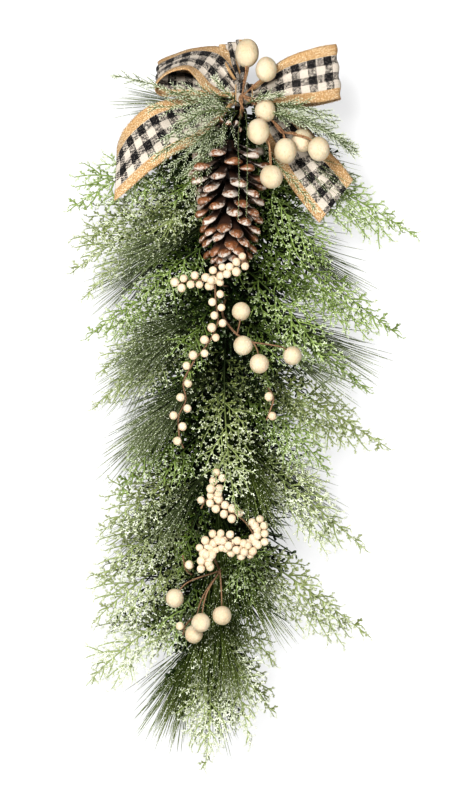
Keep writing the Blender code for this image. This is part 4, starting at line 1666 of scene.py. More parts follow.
@dataclass
class NeedleSpray:
    """A pine spray: its core's two ends and the needles that fan out from it."""

    name: str
    start: Vector
    end: Vector
    count: int
    length: float
    lean: float = 0.3
    flat: float = 0.3
    extra: bool = False
    green: Green = Green.GREY_NEEDLE

    def build(self, shop: Workshop) -> bpy.types.Object:
        """Grows the spray.

        Args:
            shop: What the sub-assemblies share.

        Returns:
            The piece.
        """
        shape = Shape()
        middle = (self.start + self.end) / 2 + Vector((0, 0, 3)) * MM
        path = smooth_path((self.start, middle, self.end), 6)
        # painted shade: the core's needles are darker near the stem, lighter outwards
        shape.line(path, girth=(1.5 * MM, 0.9 * MM), share=(0.0, 1.0), frost=(-0.35, -0.15), tone=(0.4, 0.8))
        made = shop.needly.grow(
            shape.piece(self.name.replace("needles", "pine_spray")),
            [shop.needle],
            shop.palette.greens[self.green],
            {"Count": self.count, "Length": self.length, "Lean": self.lean, "Flat": self.flat},
        )
        return seated(made, "needle_green", *([] if self.extra else [self.name]))


@dataclass
class Fern:
    """A thin frosted sprig: its path in mm, its side twigs' lengths and what node it stands for."""

    name: str
    path: tuple[Place, ...]
    twig_mm: float
    node: str | None = None
    frost: float = 0.95
    pitch: float = 4.4
    leaf_mm: float = 4.8

    def build(self, shop: Workshop) -> bpy.types.Object:
        """Grows the sprig.

        Args:
            shop: What the sub-assemblies share.

        Returns:
            The piece.
        """
        draw = random.Random(self.name)
        path = smooth_path(in_metres(self.path), 5)
        shape = Shape()
        girth = min(0.75, self.twig_mm * 0.15), 0.3
        shape.twig(path, girth, (0.0, self.leaf_mm), (0.1, self.frost), (0.7, 0.7))
        length = sum((b - a).length for a, b in zip(path, path[1:])) / MM
        count = round(length * 0.8 / self.pitch)
        for index in range(count):
            t = 0.2 + 0.78 * (index + draw.uniform(-0.3, 0.3)) / count
            foot, way = on_path(path, t)
            turn = index * 2.4 + draw.uniform(-0.5, 0.5)
            side = way.cross(Vector((0, 1, 0))).normalized()
            over = side.cross(way)
            out = side * math.cos(turn) + over * math.sin(turn) * 0.55
            lean = draw.uniform(0.5, 0.9)
            span = self.twig_mm * MM * draw.uniform(0.6, 1.1) * mix(1.0, 0.5, t)
            twig = [
                foot + (way * math.cos(lean) + out * math.sin(lean)) * span * s + way * span * 0.25 * s * s
                for s in (0, 0.25, 0.5, 0.75, 1.0)
            ]
            twig = shop.clear_path(twig, FERN_CLEARANCE)
            if len(twig) > 2:
                leaf = self.leaf_mm, self.leaf_mm * 0.7
                # a brightness drawn at random, lower at the twig's foot than at its tip
                tone = draw.uniform(0.25, 0.7), draw.uniform(0.6, 1.0)
                shape.twig(twig, (0.4, 0.28), leaf, (self.frost * 0.6, self.frost * 1.2), tone)
        made = shop.leafy.grow(
            shape.piece(self.name),
            [shop.leaflet] * len(LOBES),
            shop.palette.greens[Green.FERN],
            {"Spacing": 1.8 * MM, "Width": 0.17, "Angle": 0.55, "Roll": 0.9},
        )
        return seated(made, "needle_green", *([self.node] if self.node else []))


@dataclass
class Ribbon:
    """A length of wired ribbon along stations: centre in mm, direction across it and gathered width in mm."""

    node: str
    held: Held
    stations: tuple[tuple[Place, Place, float], ...]
    rests_on: tuple[str, ...] = ("ribbon_knot",)
    wave: float = 0.8
    steps: int = 12
    columns: int = 29

    def build(self, shop: Workshop) -> bpy.types.Object:
        """Makes the ribbon and its fringe.

        Args:
            shop: What the sub-assemblies share.

        Returns:
            The ribbon.
        """
        name = self.node.replace("bow_", "ribbon_")
        rows, length = self._rows()
        shape = Shape()
        shape.skin([[shape.point(place) for place in row] for row in rows], closed=False, capped=False)
        made = shape.piece(name, shop.palette.ribbon)
        self._lay_pattern(made, rows)
        wall = made.modifiers.new("thickness", "SOLIDIFY")
        wall.thickness = RIBBON_THICKNESS
        wall.offset = 0.0
        seated(made, "ribbon_check", self.node)
        area = sum(face.area for face in made.data.polygons)
        fringe = self._fringe(shop, rows, name)
        area / length
        return made

    def _rows(self) -> tuple[list[list[Vector]], float]:
        """Rows of points across the ribbon, and its length.

        Returns:
            The rows, and the length in metres.
        """
        centres = smooth_path(in_metres(station[0] for station in self.stations), self.steps)
        acrosses = smooth_path([Vector(station[1]).normalized() for station in self.stations], self.steps)
        widths = smooth_path([Vector((station[2] * MM, 0, 0)) for station in self.stations], self.steps)
        rows, run = [], 0.0
        for index, centre in enumerate(centres):
            before, after = centres[max(index - 1, 0)], centres[min(index + 1, len(centres) - 1)]
            along = (after - before).normalized()
            across = acrosses[index].normalized()
            normal = along.cross(across).normalized()
            width = min(widths[index].x, RIBBON_WIDTH)
            run += (centre - centres[max(index - 1, 0)]).length
            spare = max(0.0, (RIBBON_WIDTH / max(width, 12 * MM)) ** 2 - 1)
            pleat = width / (math.pi * 3) * math.sqrt(spare / 2) * 0.8
            row = []
            for column in range(self.columns):
                v = column / (self.columns - 1) - 0.5
                edge = abs(v) * 2
                ripple = math.sin(run / MM / 9.0 + (2.2 if v > 0 else 0)) * self.wave * MM * edge**3
                fold = math.sin(3 * 2 * math.pi * v) * pleat
                row.append(centre + across * width * v + normal * (fold + ripple))
            rows.append(row)
        return rows, run

    @staticmethod
    def _lay_pattern(made: bpy.types.Object, rows: list[list[Vector]]) -> None:
        """Lays the cloth's own measure on the mesh: metres along it and across it.

        Args:
            made: The ribbon.
            rows: Its points.
        """
        columns = len(rows[0])
        run = [0.0]
        middle = columns // 2
        for low, high in zip(rows, rows[1:]):
            run.append(run[-1] + (high[middle] - low[middle]).length)
        layer = made.data.uv_layers.new(name="cloth")
        for loop in made.data.loops:
            row, column = divmod(loop.vertex_index, columns)
            layer.data[loop.index].uv = (run[row], RIBBON_WIDTH * column / (columns - 1))

    def _fringe(self, shop: Workshop, rows: list[list[Vector]], name: str) -> bpy.types.Object:
        """Short tufts of thread along both edges.

        Args:
            shop: What the sub-assemblies share.
            rows: The ribbon's points.
            name: The ribbon's name.

        Returns:
            The fringe.
        """
        draw = random.Random(self.node)
        shape = Shape()
        for column, inner in ((0, 1), (len(rows[0]) - 1, len(rows[0]) - 2)):
            edge = [row[column] for row in rows]
            run, spots = 0.0, []
            for a, b in zip(edge, edge[1:]):
                step = (b - a).length
                while len(spots) * FRINGE_PITCH < run + step and step > 0:
                    spots.append(a.lerp(b, (len(spots) * FRINGE_PITCH - run) / step))
                run += step
            inners = [row[inner] for row in rows]
            for place in spots:
                near = min(range(len(edge)), key=lambda index: (edge[index] - place).length)
                out = (edge[near] - inners[near]).normalized()
                out = (out + Vector((draw.uniform(-0.5, 0.5) for _ in range(3))) * 0.6).normalized()
                scale = Vector((0.9, 0.8, 1.5)) * draw.uniform(0.75, 1.25) * MM
                facing = Vector((draw.uniform(-1, 1), draw.uniform(-1, 1), 1))
                shape.point(place - out * 0.5 * MM, {"heading": out, "facing": facing, "scale": scale})
        made = shop.spots.grow(shape.piece(f"{name}_fringe"), [shop.leaflet], shop.palette.fringe)
        return seated(made, "ribbon_check")


@dataclass
class Knot:
    """The pinched ribbon round the middle of the bow."""

    low: Vector = field(default_factory=lambda: Vector((3, -71, -50)) * MM)
    high: Vector = field(default_factory=lambda: Vector((21, -45, -22)) * MM)
    rings: int = 17
    sides: int = 48

    def build(self, shop: Workshop) -> bpy.types.Object:
        """Makes the knot.

        Args:
            shop: What the sub-assemblies share.

        Returns:
            The piece.
        """
        middle, half = (self.low + self.high) / 2, (self.high - self.low) / 2
        shape, grid = Shape(), []
        for ring in range(self.rings):
            share = ring / (self.rings - 1)
            pinch = 1.0 - 0.1 * math.cos(2 * math.pi * share) - 0.02
            row = []
            for angle in circle(self.sides):
                pleat = 1 + 0.05 * math.sin(share * math.pi * 7 + math.sin(angle * 2) * 0.8)
                square = 1 / max(abs(math.cos(angle)), abs(math.sin(angle))) ** 0.75
                out = pinch * pleat * min(square, 1.22) * 0.86
                x = mix(-half.x, half.x, share)
                corner = Vector((x, half.y * out * math.cos(angle), half.z * out * math.sin(angle)))
                row.append(shape.point(middle + corner))
            grid.append(row)
        shape.skin(grid)
        made = shape.piece("ribbon_knot", shop.palette.ribbon)
        layer = made.data.uv_layers.new(name="cloth")
        for loop in made.data.loops:
            ring, side = divmod(loop.vertex_index, self.sides)
            across = mix(8, 48, ring / (self.rings - 1)) * MM
            layer.data[loop.index].uv = (side / self.sides * KNOT_GIRTH, across)
        return seated(made, "ribbon_check", "bow_knot")


RIBBONS = (
    Ribbon(
        "bow_loop_left",
        Held.GATHERED,
        (
            ((KNOT_LEFT_MM, -58, -31), (0.7, 0.4, 0.6), 26),
            ((-12, -57, -15), (0.55, 0.47, 0.69), 50),
            ((-25, -52, -3), (0.42, 0.68, 0.6), 56),
            ((-42, -48, 1), (0.15, 0.88, 0.45), 54),
            ((-60, -46, -4), (0.11, 0.92, 0.38), 54),
            ((-74.5, -46, -14), (0.03, 0.86, 0.51), 54),
            ((-70, -45, -20), (0, 0.80, 0.60), 55),
            ((-45, -47, -22), (0, 0.80, 0.60), 52),
            ((-16, -54, -30), (0, 0.92, 0.4), 32),
            ((KNOT_LEFT_MM, -58, -36), (0, 1, 0), 16),
        ),
    ),
    Ribbon(
        "bow_loop_right",
        Held.GATHERED,
        (
            ((KNOT_RIGHT_MM, -65, -36), (0, 0, 1), 16),
            ((36, -72, -31), (-0.05, 0, 1), 34),
            ((56, -75, -23), (-0.1, 0, 1), 46),
            ((84, -74, -17), (-0.1, 0, 1), 54),
            ((103, -68, -13), (-0.1, 0, 1), 54),
            ((106, -60, -13), (-0.1, 0, 1), 54),
            ((100, -50, -15), (-0.1, 0, 1), 54),
            ((74, -44, -22), (-0.1, 0, 1), 50),
            ((44, -45, -31), (0, 0, 1), 34),
            ((KNOT_RIGHT_MM, -51, -37), (0, 0, 1), 16),
        ),
    ),
    Ribbon(
        "bow_tail_left",
        Held.HUNG,
        (
            ((KNOT_LEFT_MM, -58, -42), (0, 1, 0.15), 16),
            ((-16, -57, -48), (-0.3, 0.5, 0.8), 30),
            ((-42, -58, -60), (-0.4, 0.1, 0.9), 48),
            ((-70, -60, -71), (-0.45, 0.05, 0.88), 54),
            ((-97, -58, -92), (-0.3, 0.15, 0.93), 54),
            ((-116, -52, -115), (0.05, 0.3, 0.95), 56),
        ),
    ),
    Ribbon(
        "bow_tail_right",
        Held.HUNG,
        (
            ((KNOT_RIGHT_MM, -58, -40), (0, 0, 1), 14),
            ((36, -59, -53), (0.7, 0, 0.7), 28),
            ((54, -60, -76), (0.85, 0.1, 0.5), 42),
            ((72, -60, -102), (0.85, 0.1, 0.5), 50),
            ((88, -59, -122), (0.75, 0, 0.66), 54),
            ((104, -57, -142), (0.62, 0, 0.78), 54),
        ),
    ),
    Ribbon(
        "bow_top_end",
        Held.GATHERED,
        (
            ((8, -56, -21.25), (1, 0.2, 0), 12),
            ((5, -50, -8), (1, 0.2, 0), 24),
            ((2, -44, 7), (0.9, -0.45, 0.1), 30),
            ((0, -41, 18), (0.8, -0.6, 0.2), 31),
        ),
    ),
)


@dataclass
class Bow:
    """The bow: two loops, two tails, a short end and the knot."""

    ribbons: tuple[Ribbon, ...] = RIBBONS

    def build(self, shop: Workshop) -> None:
        """Makes every length of ribbon.

        Args:
            shop: What the sub-assemblies share.
        """
        for ribbon in self.ribbons:
            ribbon.build(shop)
        Knot().build(shop)


@dataclass
class Cone:
    """The open pine cone, hanging tip down."""

    base: Vector = field(default_factory=lambda: Vector((-4, -70, -82)) * MM)
    tip: Vector = field(default_factory=lambda: Vector((-2, -76, -201)) * MM)
    scales: int = 84
    stubs: int = 9
    seed: int = 5
    profile: tuple[Ends, ...] = (
        (0.0, 34), (0.12, 40), (0.3, 42), (0.5, 37), (0.7, 29), (0.88, 19), (1.0, 10),
    )

    def build(self, shop: Workshop) -> None:
        """Makes the cone's core and its scales.

        Args:
            shop: What the sub-assemblies share.
        """
        draw = random.Random(self.seed)
        axis = (self.tip - self.base).normalized()
        length = (self.tip - self.base).length
        turn = axis.to_track_quat("Z", "Y").to_matrix()
        shape = Shape()
        for index in range(self.scales):
            share = ((index + 0.5) / self.scales) ** 0.92
            lean = math.radians(mix(22, 64, share**0.8) + draw.uniform(-7, 7))
            out = self._radius(share)
            reach = min(out / math.cos(lean) if share < 0.8 else out * 1.9, LONGEST_SCALE)
            reach *= draw.uniform(0.92, 1.05)
            spin = index * GOLDEN_ANGLE + draw.uniform(-0.13, 0.13)
            radial = turn @ Vector((math.cos(spin), math.sin(spin), 0))
            heading = radial * math.cos(lean) + axis * math.sin(lean)
            facing = heading.cross(radial.cross(axis)).normalized()
            along = share * (length - 6 * MM) + 4 * MM - reach * math.sin(lean) * 0.35
            wide = mix(1.14, 0.76, share**1.3) * draw.uniform(0.9, 1.08)
            scale = Vector((wide, wide * 0.95, reach / (CONE_SCALE_MM * MM)))
            shape.point(self.base + axis * along, {"heading": heading, "facing": facing, "scale": scale})
        for index in range(self.stubs):
            spin = index * GOLDEN_ANGLE
            radial = turn @ Vector((math.cos(spin), math.sin(spin), 0))
            heading = (radial - axis * draw.uniform(0.1, 0.9)).normalized()
            place = self.base - axis * draw.uniform(4, 13) * MM + radial * 5 * MM
            scale = Vector((0.42, 0.6, draw.uniform(0.36, 0.6)))
            shape.point(place, {"heading": heading, "facing": -axis, "scale": scale})
        template = self._scale()
        made = shop.spots.grow(shape.piece("cone_scales"), [template], shop.palette.cone)
        bpy.data.objects.remove(template)
        seated(made, "cone_brown", "pine_cone")
        core = Shape()
        path = [self.base + axis * length * step / 8 for step in range(9)]
        core.tube(path, [mix(9, 3, step / 8) * MM for step in range(9)], 16)
        # painted shade: the core takes the near-black colour of the scales' feet
        core.numbers = {name: [0.1] * len(core.points) for name in ("along", "shade", "rim")}
        seated(core.piece("cone_core", shop.palette.cone), "cone_brown")

    def _radius(self, share: float) -> float:
        """How far the scales stand out at a share of the cone's length.

        Args:
            share: The share.

        Returns:
            The radius, in metres.
        """
        for (low, near), (high, far) in zip(self.profile, self.profile[1:]):
            if share <= high:
                return mix(near, far, (share - low) / (high - low)) * MM
        return self.profile[-1][1] * MM

    @staticmethod
    def _scale() -> bpy.types.Object:
        """One woody scale, 30 mm along Z, with a swollen rhombic tip and a small point on it.

        Returns:
            The template.
        """
        shape = Shape()
        sections = (
            (0.0, 2.4, 0.8, 0.0, 0.0),
            (0.30, 3.8, 0.9, 0.1, 0.0),
            (0.54, 5.8, 1.1, 0.4, 0.1),
            (0.70, 7.7, 1.4, 0.9, 0.5),
            (0.80, 8.3, 2.2, 2.4, 1.1),
            (0.88, 6.9, 2.7, 3.0, 1.6),
            (0.945, 4.6, 2.3, 2.2, 2.2),
            (0.985, 2.5, 1.4, 0.9, 2.6),
            (1.0, 1.0, 0.6, 0.0, 2.8),
        )
        rings = []
        for share, half, thick, ridge, curl in sections:
            row = []
            for angle in circle(14):
                x, y = half * math.cos(angle), thick * math.sin(angle)
                keel = ridge * max(0.0, 1 - abs(x) / half) ** 1.2
                y += keel if math.sin(angle) > 0 else -keel * 0.2
                y += curl - 0.022 * x * x * share
                corner = Vector((x, y, share * CONE_SCALE_MM)) * MM
                row.append(shape.point(corner, along=share, rim=abs(math.cos(angle)) ** 2))
            rings.append(row)
        shape.skin(rings)
        corners = ((1.5, 5.0, 26.2), (0, 5.5, 25.2), (-1.5, 5.0, 26.2), (0, 4.6, 28.0), (0, 6.9, 27.4))
        prick = [shape.point(Vector(corner) * MM, along=0.90, rim=0.0) for corner in corners]
        for trio in ((0, 1, 4), (1, 2, 4), (2, 3, 4), (3, 0, 4)):
            shape.faces.append(tuple(prick[corner] for corner in trio))
        return shape.template("scale_template")


@dataclass
class BerryPick:
    """A pick of large berries: each has its centre in mm, its radius, its stretch and its hub's index."""

    node: str
    root_z: float
    hubs: tuple[Place, ...]
    berries: tuple[tuple[Place, float, float, int], ...]
    twine: bool = False

    def build(self, shop: Workshop) -> None:
        """Makes the berries and their stalks.

        Args:
            shop: What the sub-assemblies share.
        """
        hubs = in_metres(self.hubs)
        path = smooth_path([stem_front(self.root_z * MM)] + hubs, 8)
        stalks, balls = Shape(), Shape()
        if self.twine:
            self._twist(stalks, path, *MAIN_TWINE)
        else:
            stalks.tube(path, [STALK_RADIUS] * len(path), 8)
        for number, (centre, size, stretch, hub) in enumerate(self.berries):
            centre = Vector(centre) * MM
            start = hubs[hub]
            middle = (start + centre) / 2 + Vector(((centre.x - start.x) * 0.22, -3 * MM, 2 * MM))
            stalk = smooth_path((start, middle, centre), 8)
            if self.twine:
                self._twist(stalks, stalk, *SIDE_TWINE)
            else:
                stalks.tube(stalk, [mix(1.0, 0.65, i / (len(stalk) - 1)) * MM for i in range(len(stalk))], 8)
            half = Vector((size, size, size * stretch)) * MM
            balls.ball(centre, half, 4, 0.035, number + round(-self.root_z))
        name = self.node.replace("pick", "foam")
        seated(balls.piece(name, shop.palette.berry), "berry_cream", self.node)
        finish = shop.palette.twine if self.twine else shop.palette.stalk
        seated(stalks.piece(self.node.replace("pick", "stalk"), finish), "stem_brown")

    @staticmethod
    def _twist(shape: Shape, path: list[Vector], radius: float, offset: float, turns: float) -> None:
        """Two strands wound round a path.

        Args:
            shape: Where they go.
            path: The path.
            radius: A strand's radius.
            offset: How far it runs from the path.
            turns: How far it turns in all, in radians.
        """
        fine = smooth_path(path, 4)
        for strand in (0.0, math.pi):
            line = []
            for index, centre in enumerate(fine):
                share = index / (len(fine) - 1)
                along = (fine[min(index + 1, len(fine) - 1)] - fine[max(index - 1, 0)]).normalized()
                side = along.cross(Vector((0.2, 1, 0.1))).normalized()
                over = side.cross(along)
                turn = strand + turns * share
                line.append(centre + (side * math.cos(turn) + over * math.sin(turn)) * offset)
            shape.tube(line, [radius] * len(line), 6)


@dataclass
class BerrySpray:
    """A spray of small berries along stalks: each stalk's points in mm and its berries."""

    node: str
    root_z: float
    stalks: tuple[tuple[tuple[Place, ...], int], ...]
    seed: int
    berry: float = 4.3

    def build(self, shop: Workshop) -> None:
        """Makes the berries and the twigs.

        Args:
            shop: What the sub-assemblies share.
        """
        draw = random.Random(self.seed)
        twigs, balls = Shape(), Shape()
        for number, (points, count) in enumerate(self.stalks):
            path = in_metres(points)
            if number == 0:
                path = [stem_front(self.root_z * MM)] + path
            path = smooth_path(path, 7)
            shares = [step / (len(path) - 1) for step in range(len(path))]
            twigs.tube(path, [mix(1.1, 0.75, share) * MM * draw.uniform(0.9, 1.15) for share in shares], 7)
            for index in range(count):
                self._berry(balls, twigs, path, (index + 0.6) / count, index, draw)
        cluster = balls.piece(self.node.replace("spray", "cluster"), shop.palette.small_berry)
        seated(cluster, "berry_cream", self.node)
        seated(twigs.piece(self.node.replace("spray", "twigs"), shop.palette.stalk), "stem_brown")

    def _berry(
        self, balls: Shape, twigs: Shape, path: list[Vector], share: float, index: int, draw: random.Random
    ) -> None:
        """One berry and its short stem.

        Args:
            balls: Where the berry goes.
            twigs: Where its stem goes.
            path: The twig that it grows on.
            share: How far along the twig.
            index: Its number on the twig.
            draw: Where its random numbers come from.
        """
        foot, along = on_path(path, share)
        side = along.cross(Vector((0, 1, 0))).normalized() * (1 if index % 2 else -1)
        out = (side + Vector((0, draw.uniform(-0.9, -0.1), draw.uniform(-0.3, 0.3)))).normalized()
        centre = foot + out * draw.uniform(4.0, 5.4) * MM
        size = self.berry * MM * draw.uniform(0.9, 1.06)
        balls.ball(centre, Vector((size, size, size * draw.uniform(0.97, 1.06))), 3, 0.03, index)
        twigs.tube([foot, foot.lerp(centre, 0.5), centre], [SMALL_STEM_RADIUS] * 3, 5)


@dataclass
class Stem:
    """The wrapped main stem, its wire loop and the two tie wires."""

    rings: int = 330
    sides: int = 18

    def build(self, shop: Workshop, nodes: dict[str, bpy.types.Object]) -> None:
        """Makes the wound stem and dresses the wires.

        Args:
            shop: What the sub-assemblies share.
            nodes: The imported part's objects, by node.
        """
        shape, grid = Shape(), []
        for ring in range(self.rings + 1):
            z = mix(STEM_TOP_Z, STEM_END_Z, ring / self.rings)
            row = []
            for side, angle in enumerate(circle(self.sides)):
                wound = (z / WRAP_PITCH + side / self.sides) % 1.0
                radius = stem_radius(z) * (0.93 + 0.10 * wound)
                x, y = stem_x(z) + radius * math.cos(angle), STEM_Y + radius * math.sin(angle)
                row.append(shape.point(Vector((x, y, z))))
            grid.append(row)
        shape.skin(grid)
        seated(shape.piece("stem_wrap", shop.palette.bark), "stem_brown", "main_stem")
        for name in ("hanger_loop", "bow_wire", "cone_wire"):
            solid = nodes[name]
            for slot in solid.material_slots:
                slot.material = shop.palette.wire
            if not solid.material_slots:
                solid.data.materials.append(shop.palette.wire)


class Studio:
    """The white wall, the floor, the lights and the camera."""

    def build(self, palette: Palette) -> None:
        """Makes the stage.

        Args:
            palette: The finishes.
        """
        foot, head = ((-4, DOOR_Y, FLOOR_Z), (4, DOOR_Y, FLOOR_Z)), ((4, DOOR_Y, 3), (-4, DOOR_Y, 3))
        wall = self._sheet("wall", foot + head)
        wall.data.materials.append(palette.wall)
        wall.visible_shadow = False
        wall.visible_diffuse = False
        floor = self._sheet("floor", tuple((x, y, FLOOR_Z) for x, y in ((-6, -9), (6, -9), (6, 9), (-6, 9))))
        floor.data.materials.append(palette.floor)
        for light in LIGHTS:
            self._light(*light)
        world = bpy.data.worlds.new("studio")
        world.use_nodes = True
        world.node_tree.nodes["Background"].inputs[0].default_value = (1, 1, 1, 1)
        world.node_tree.nodes["Background"].inputs[1].default_value = 0.07
        bpy.context.scene.world = world
        view = bpy.context.scene.view_settings
        view.view_transform = "Standard"
        view.look = "High Contrast"
        self._camera()

    @staticmethod
    def _sheet(name: str, corners: tuple[Place, ...]) -> bpy.types.Object:
        """A plain four-cornered sheet.

        Args:
            name: Its name.
            corners: Its corners.

        Returns:
            The sheet.
        """
        mesh = bpy.data.meshes.new(name)
        mesh.from_pydata(corners, [], [(0, 1, 2, 3)])
        return in_scene(name, mesh)

    @staticmethod
    def _light(name: str, place: Place, size: float, power: float) -> None:
        """A soft light aimed at the middle of the swag.

        Args:
            name: Its name.
            place: Where it is.
            size: How wide it is.
            power: Its power, in watts.
        """
        lamp = bpy.data.lights.new(name, "AREA")
        lamp.shape = "DISK"
        lamp.size = size
        lamp.energy = power
        made = in_scene(name, lamp)
        made.location = place
        made.rotation_euler = (PICTURE_CENTRE - Vector(place)).to_track_quat("-Z", "Y").to_euler()

    @staticmethod
    def _camera() -> None:
        """A long lens level with the middle of the swag, so that a pixel is a millimetre there."""
        lens = bpy.data.cameras.new("camera")
        lens.sensor_fit = "VERTICAL"
        lens.sensor_height = 24.0
        lens.lens = lens.sensor_height * CAMERA_DISTANCE / PICTURE_HEIGHT_M
        lens.clip_end = 50
        made = in_scene("camera", lens)
        made.location = PICTURE_CENTRE - Vector((0, CAMERA_DISTANCE, 0))
        made.rotation_euler = (math.radians(90), 0, 0)
        bpy.context.scene.camera = made


INNER_SEED = 7
CEDAR_SPRAYS = (
    CedarSpray("cedar_left_1", -90, -165, -152, 84, 14, 0.5, tone=0.95, leaf=1.15),
    CedarSpray("cedar_left_2", -140, -162, -214, 96, 12, 0.55, True, lower=0.5, leaf=1.15),
    CedarSpray("cedar_left_3", -205, -147, -280, 92, 10, 0.45, tone=0.9, upper=0.45, lower=0.8, leaf=1.15),
    CedarSpray("cedar_left_4", -250, -136, -316, 80, 10, 0.5, True, lower=0.7),
    CedarSpray("cedar_left_5", -330, -114, -437, 86, 10, 0.45, tone=0.9, upper=0.55, lower=0.7, leaf=1.15),
    CedarSpray("cedar_left_6", -405, -133, -476, 78, 10, 0.6, True, shaded_root_tone=0.2, tone=0.9, leaf=1.15),
    CedarSpray(
        "cedar_left_7", -440, -132, -520, 80, 8, 0.6, True, shaded_root_tone=0.25, tone=0.95, spacing=9.4,
        leaf=1.15,
    ),
    CedarSpray(
        "cedar_left_8", -480, -140, -564, 86, 8, 0.6, True, shaded_root_tone=0.25, tone=0.95, spacing=9.4,
        leaf=1.15,
    ),
    CedarSpray(
        "cedar_left_9", -540, -146, -626, 92, 10, 1.0, True, tone=1.0, upper=0.9, lower=0.9, shaded_root_tone=0.5,
        spacing=7.5,
    ),
    CedarSpray(
        "cedar_end_1", -575, -27, -708, 62, -4, 1.2, True, lift=30, tone=1.0, shaded_root_tone=0.6, spacing=6.4
    ),
    CedarSpray(
        "cedar_end_2", -555, 18, -686, 54, -6, 1.1, True, lift=28, tone=1.0, shaded_root_tone=0.6, spacing=7.4
    ),
    CedarSpray("cedar_right_1", -84, 186, -178, 92, -6, 0.4, tone=0.95, shaded_root_tone=0.3, upper=0.6, lower=1.1),
    CedarSpray("cedar_right_2", -165, 170, -278, 96, -4, 0.25, tone=0.9, shaded_root_tone=0.35, upper=0.5, leaf=1.2),
    CedarSpray(
        "cedar_right_3", -198, 92, -302, 84, -8, 0.25, tone=0.9, shaded_root_tone=0.55, lift=4, spacing=11,
        leaf=1.3,
    ),
    CedarSpray("cedar_right_4", -290, 159, -390, 76, -2, 0.4, True, upper=0.6, lower=1.1),
    CedarSpray("cedar_right_5", -318, 98, -416, 76, -8, 0.6, shaded_root_tone=0.3),
    CedarSpray(
        "cedar_right_6", -370, 136, -492, 86, -2, 0.7, True, shaded_root_tone=0.4, upper=0.7, lower=1.1, leaf=1.15
    ),
    CedarSpray(
        "cedar_right_7", -465, 139, -578, 92, -2, 0.75, True, upper=0.5, lower=1.1, shaded_root_tone=0.4, leaf=1.1
    ),
    CedarSpray("cedar_right_8", -550, 45, -607, 60, -6, 0.9, True, upper=0.6, lower=0.7, shaded_root_tone=0.4),
    CedarSpray("cedar_right_9", -246, 138, -333, 46, -8, 0.25, tone=0.8),
    CedarSpray(
        "cedar_front_1", -275, 6, -458, 76, 6, 0.4, True, tone=0.9, shaded_root_tone=0.2, spacing=10.4, leaf=1.15
    ),
    CedarSpray("cedar_front_2", -172, -92, -243, 78, 8, 0.35, shaded_root_tone=0.35),
    CedarSpray("cedar_front_3", -104, -112, -196, 80, 8, 0.5, True, shaded_root_tone=0.35),
    CedarSpray("cedar_front_4", -125, 98, -205, 80, -8, 0.3, shaded_root_tone=0.35),
    CedarSpray("cedar_front_5", -500, -60, -592, 60, 6, 0.8, shaded_root_tone=0.35),
    CedarSpray("cedar_front_6", -512, 4, -672, 50, -4, 0.9, True, shaded_root_tone=0.2),
    CedarSpray("cedar_front_7", -448, 22, -545, 60, -6, 0.3, shaded_root_tone=0.35),
    CedarSpray("cedar_front_8", -360, -72, -425, 66, 6, 0.4, shaded_root_tone=0.1),
)


EXTRA_SPRAYS = (
    CedarSpray("knot_green_1", -52, -62, -92, 46, 6, 0.4, lift=-6, extra=True),
    CedarSpray("knot_green_2", -60, -34, -112, 44, 4, 0.25, lift=4, extra=True),
    CedarSpray("knot_green_3", -56, 66, -96, 46, -6, 0.35, lift=-6, extra=True),
    CedarSpray("knot_green_4", -66, 42, -130, 44, -4, 0.25, lift=2, extra=True),
    CedarSpray("knot_green_5", -76, -60, -150, 50, 6, 0.3, lift=6, extra=True),
    CedarSpray("knot_green_6", -90, 62, -170, 50, -4, 0.3, lift=4, extra=True),
    # painted shade: the middle sprays lie deeper and are given a lower brightness
    CedarSpray("middle_green_1", -215, -44, -322, 56, 8, 0.3, lift=14, extra=True, shaded_root_tone=0.2, tone=0.7),
    CedarSpray("middle_green_2", -222, 36, -330, 54, -8, 0.25, lift=14, extra=True, shaded_root_tone=0.2, tone=0.7),
    CedarSpray("middle_green_4", -392, 34, -478, 50, -6, 0.3, lift=10, extra=True, shaded_root_tone=0.2, tone=0.7),
    CedarSpray("middle_green_5", -420, -52, -520, 46, 6, 0.3, lift=6, extra=True, shaded_root_tone=0.1, tone=0.6),
    CedarSpray("middle_green_3", -285, -84, -334, 60, 6, 0.2, lift=2, extra=True, shaded_root_tone=0.05, tone=0.55),
    CedarSpray("low_green_1", -572, 42, -657, 40, -4, 0.8, True, extra=True, shaded_root_tone=0.4, tone=0.9),
    CedarSpray(
        "side_green_1", -128, -150, -240, 66, 8, 0.5, True, lift=6, extra=True, shaded_root_tone=0.3, lower=0.6
    ),
    CedarSpray(
        "side_green_2", -262, -140, -350, 62, 8, 0.6, True, lift=6, extra=True, shaded_root_tone=0.2, upper=0.6
    ),
)


def inner_sprays() -> list[CedarSpray]:
    """The short sprays that fill the middle of the swag, one behind each of the outer ones, painted near
    black as shade except where they hang free below.

    Returns:
        The sprays.
    """
    draw = random.Random(INNER_SEED)
    sprays = []
    for number, spray in enumerate(CEDAR_SPRAYS):
        root_z = spray.root_z + draw.uniform(6, 18)
        reach = draw.uniform(0.42, 0.54)
        tip_x = mix(stem_x(root_z * MM) / MM, spray.tip_x, reach)
        tip_z = mix(root_z, spray.tip_z, reach)
        sizes = root_z, tip_x, tip_z, spray.width * 0.8, spray.bow
        sprays.append(CedarSpray(f"cedar_inner_{number + 1}", *sizes, 0.0, depth=Depth.INNER))
    return sprays


# Pine beside the stem: side, root height, its core's end across and down, count and length
SIDE_NEEDLES = (
    ("needles_left_1", -1, -150, (-74, -197), 143, 98),
    ("needles_left_2", -1, -228, (-72, -288), 209, 98),
    ("needles_left_3", -1, -300, (-70, -358), 198, 95),
    ("needles_left_4", -1, -420, (-68, -452), 121, 80),
    ("needles_right_1", 1, -62, (62, -96), 110, 92),
    ("needles_right_2", 1, -150, (70, -190), 121, 95),
    ("needles_right_3", 1, -240, (78, -275), 132, 95),
    ("needles_right_4", 1, -372, (42, -410), 132, 92),
    ("needles_top", -1, -52, (-58, -42), 61, 72),
)

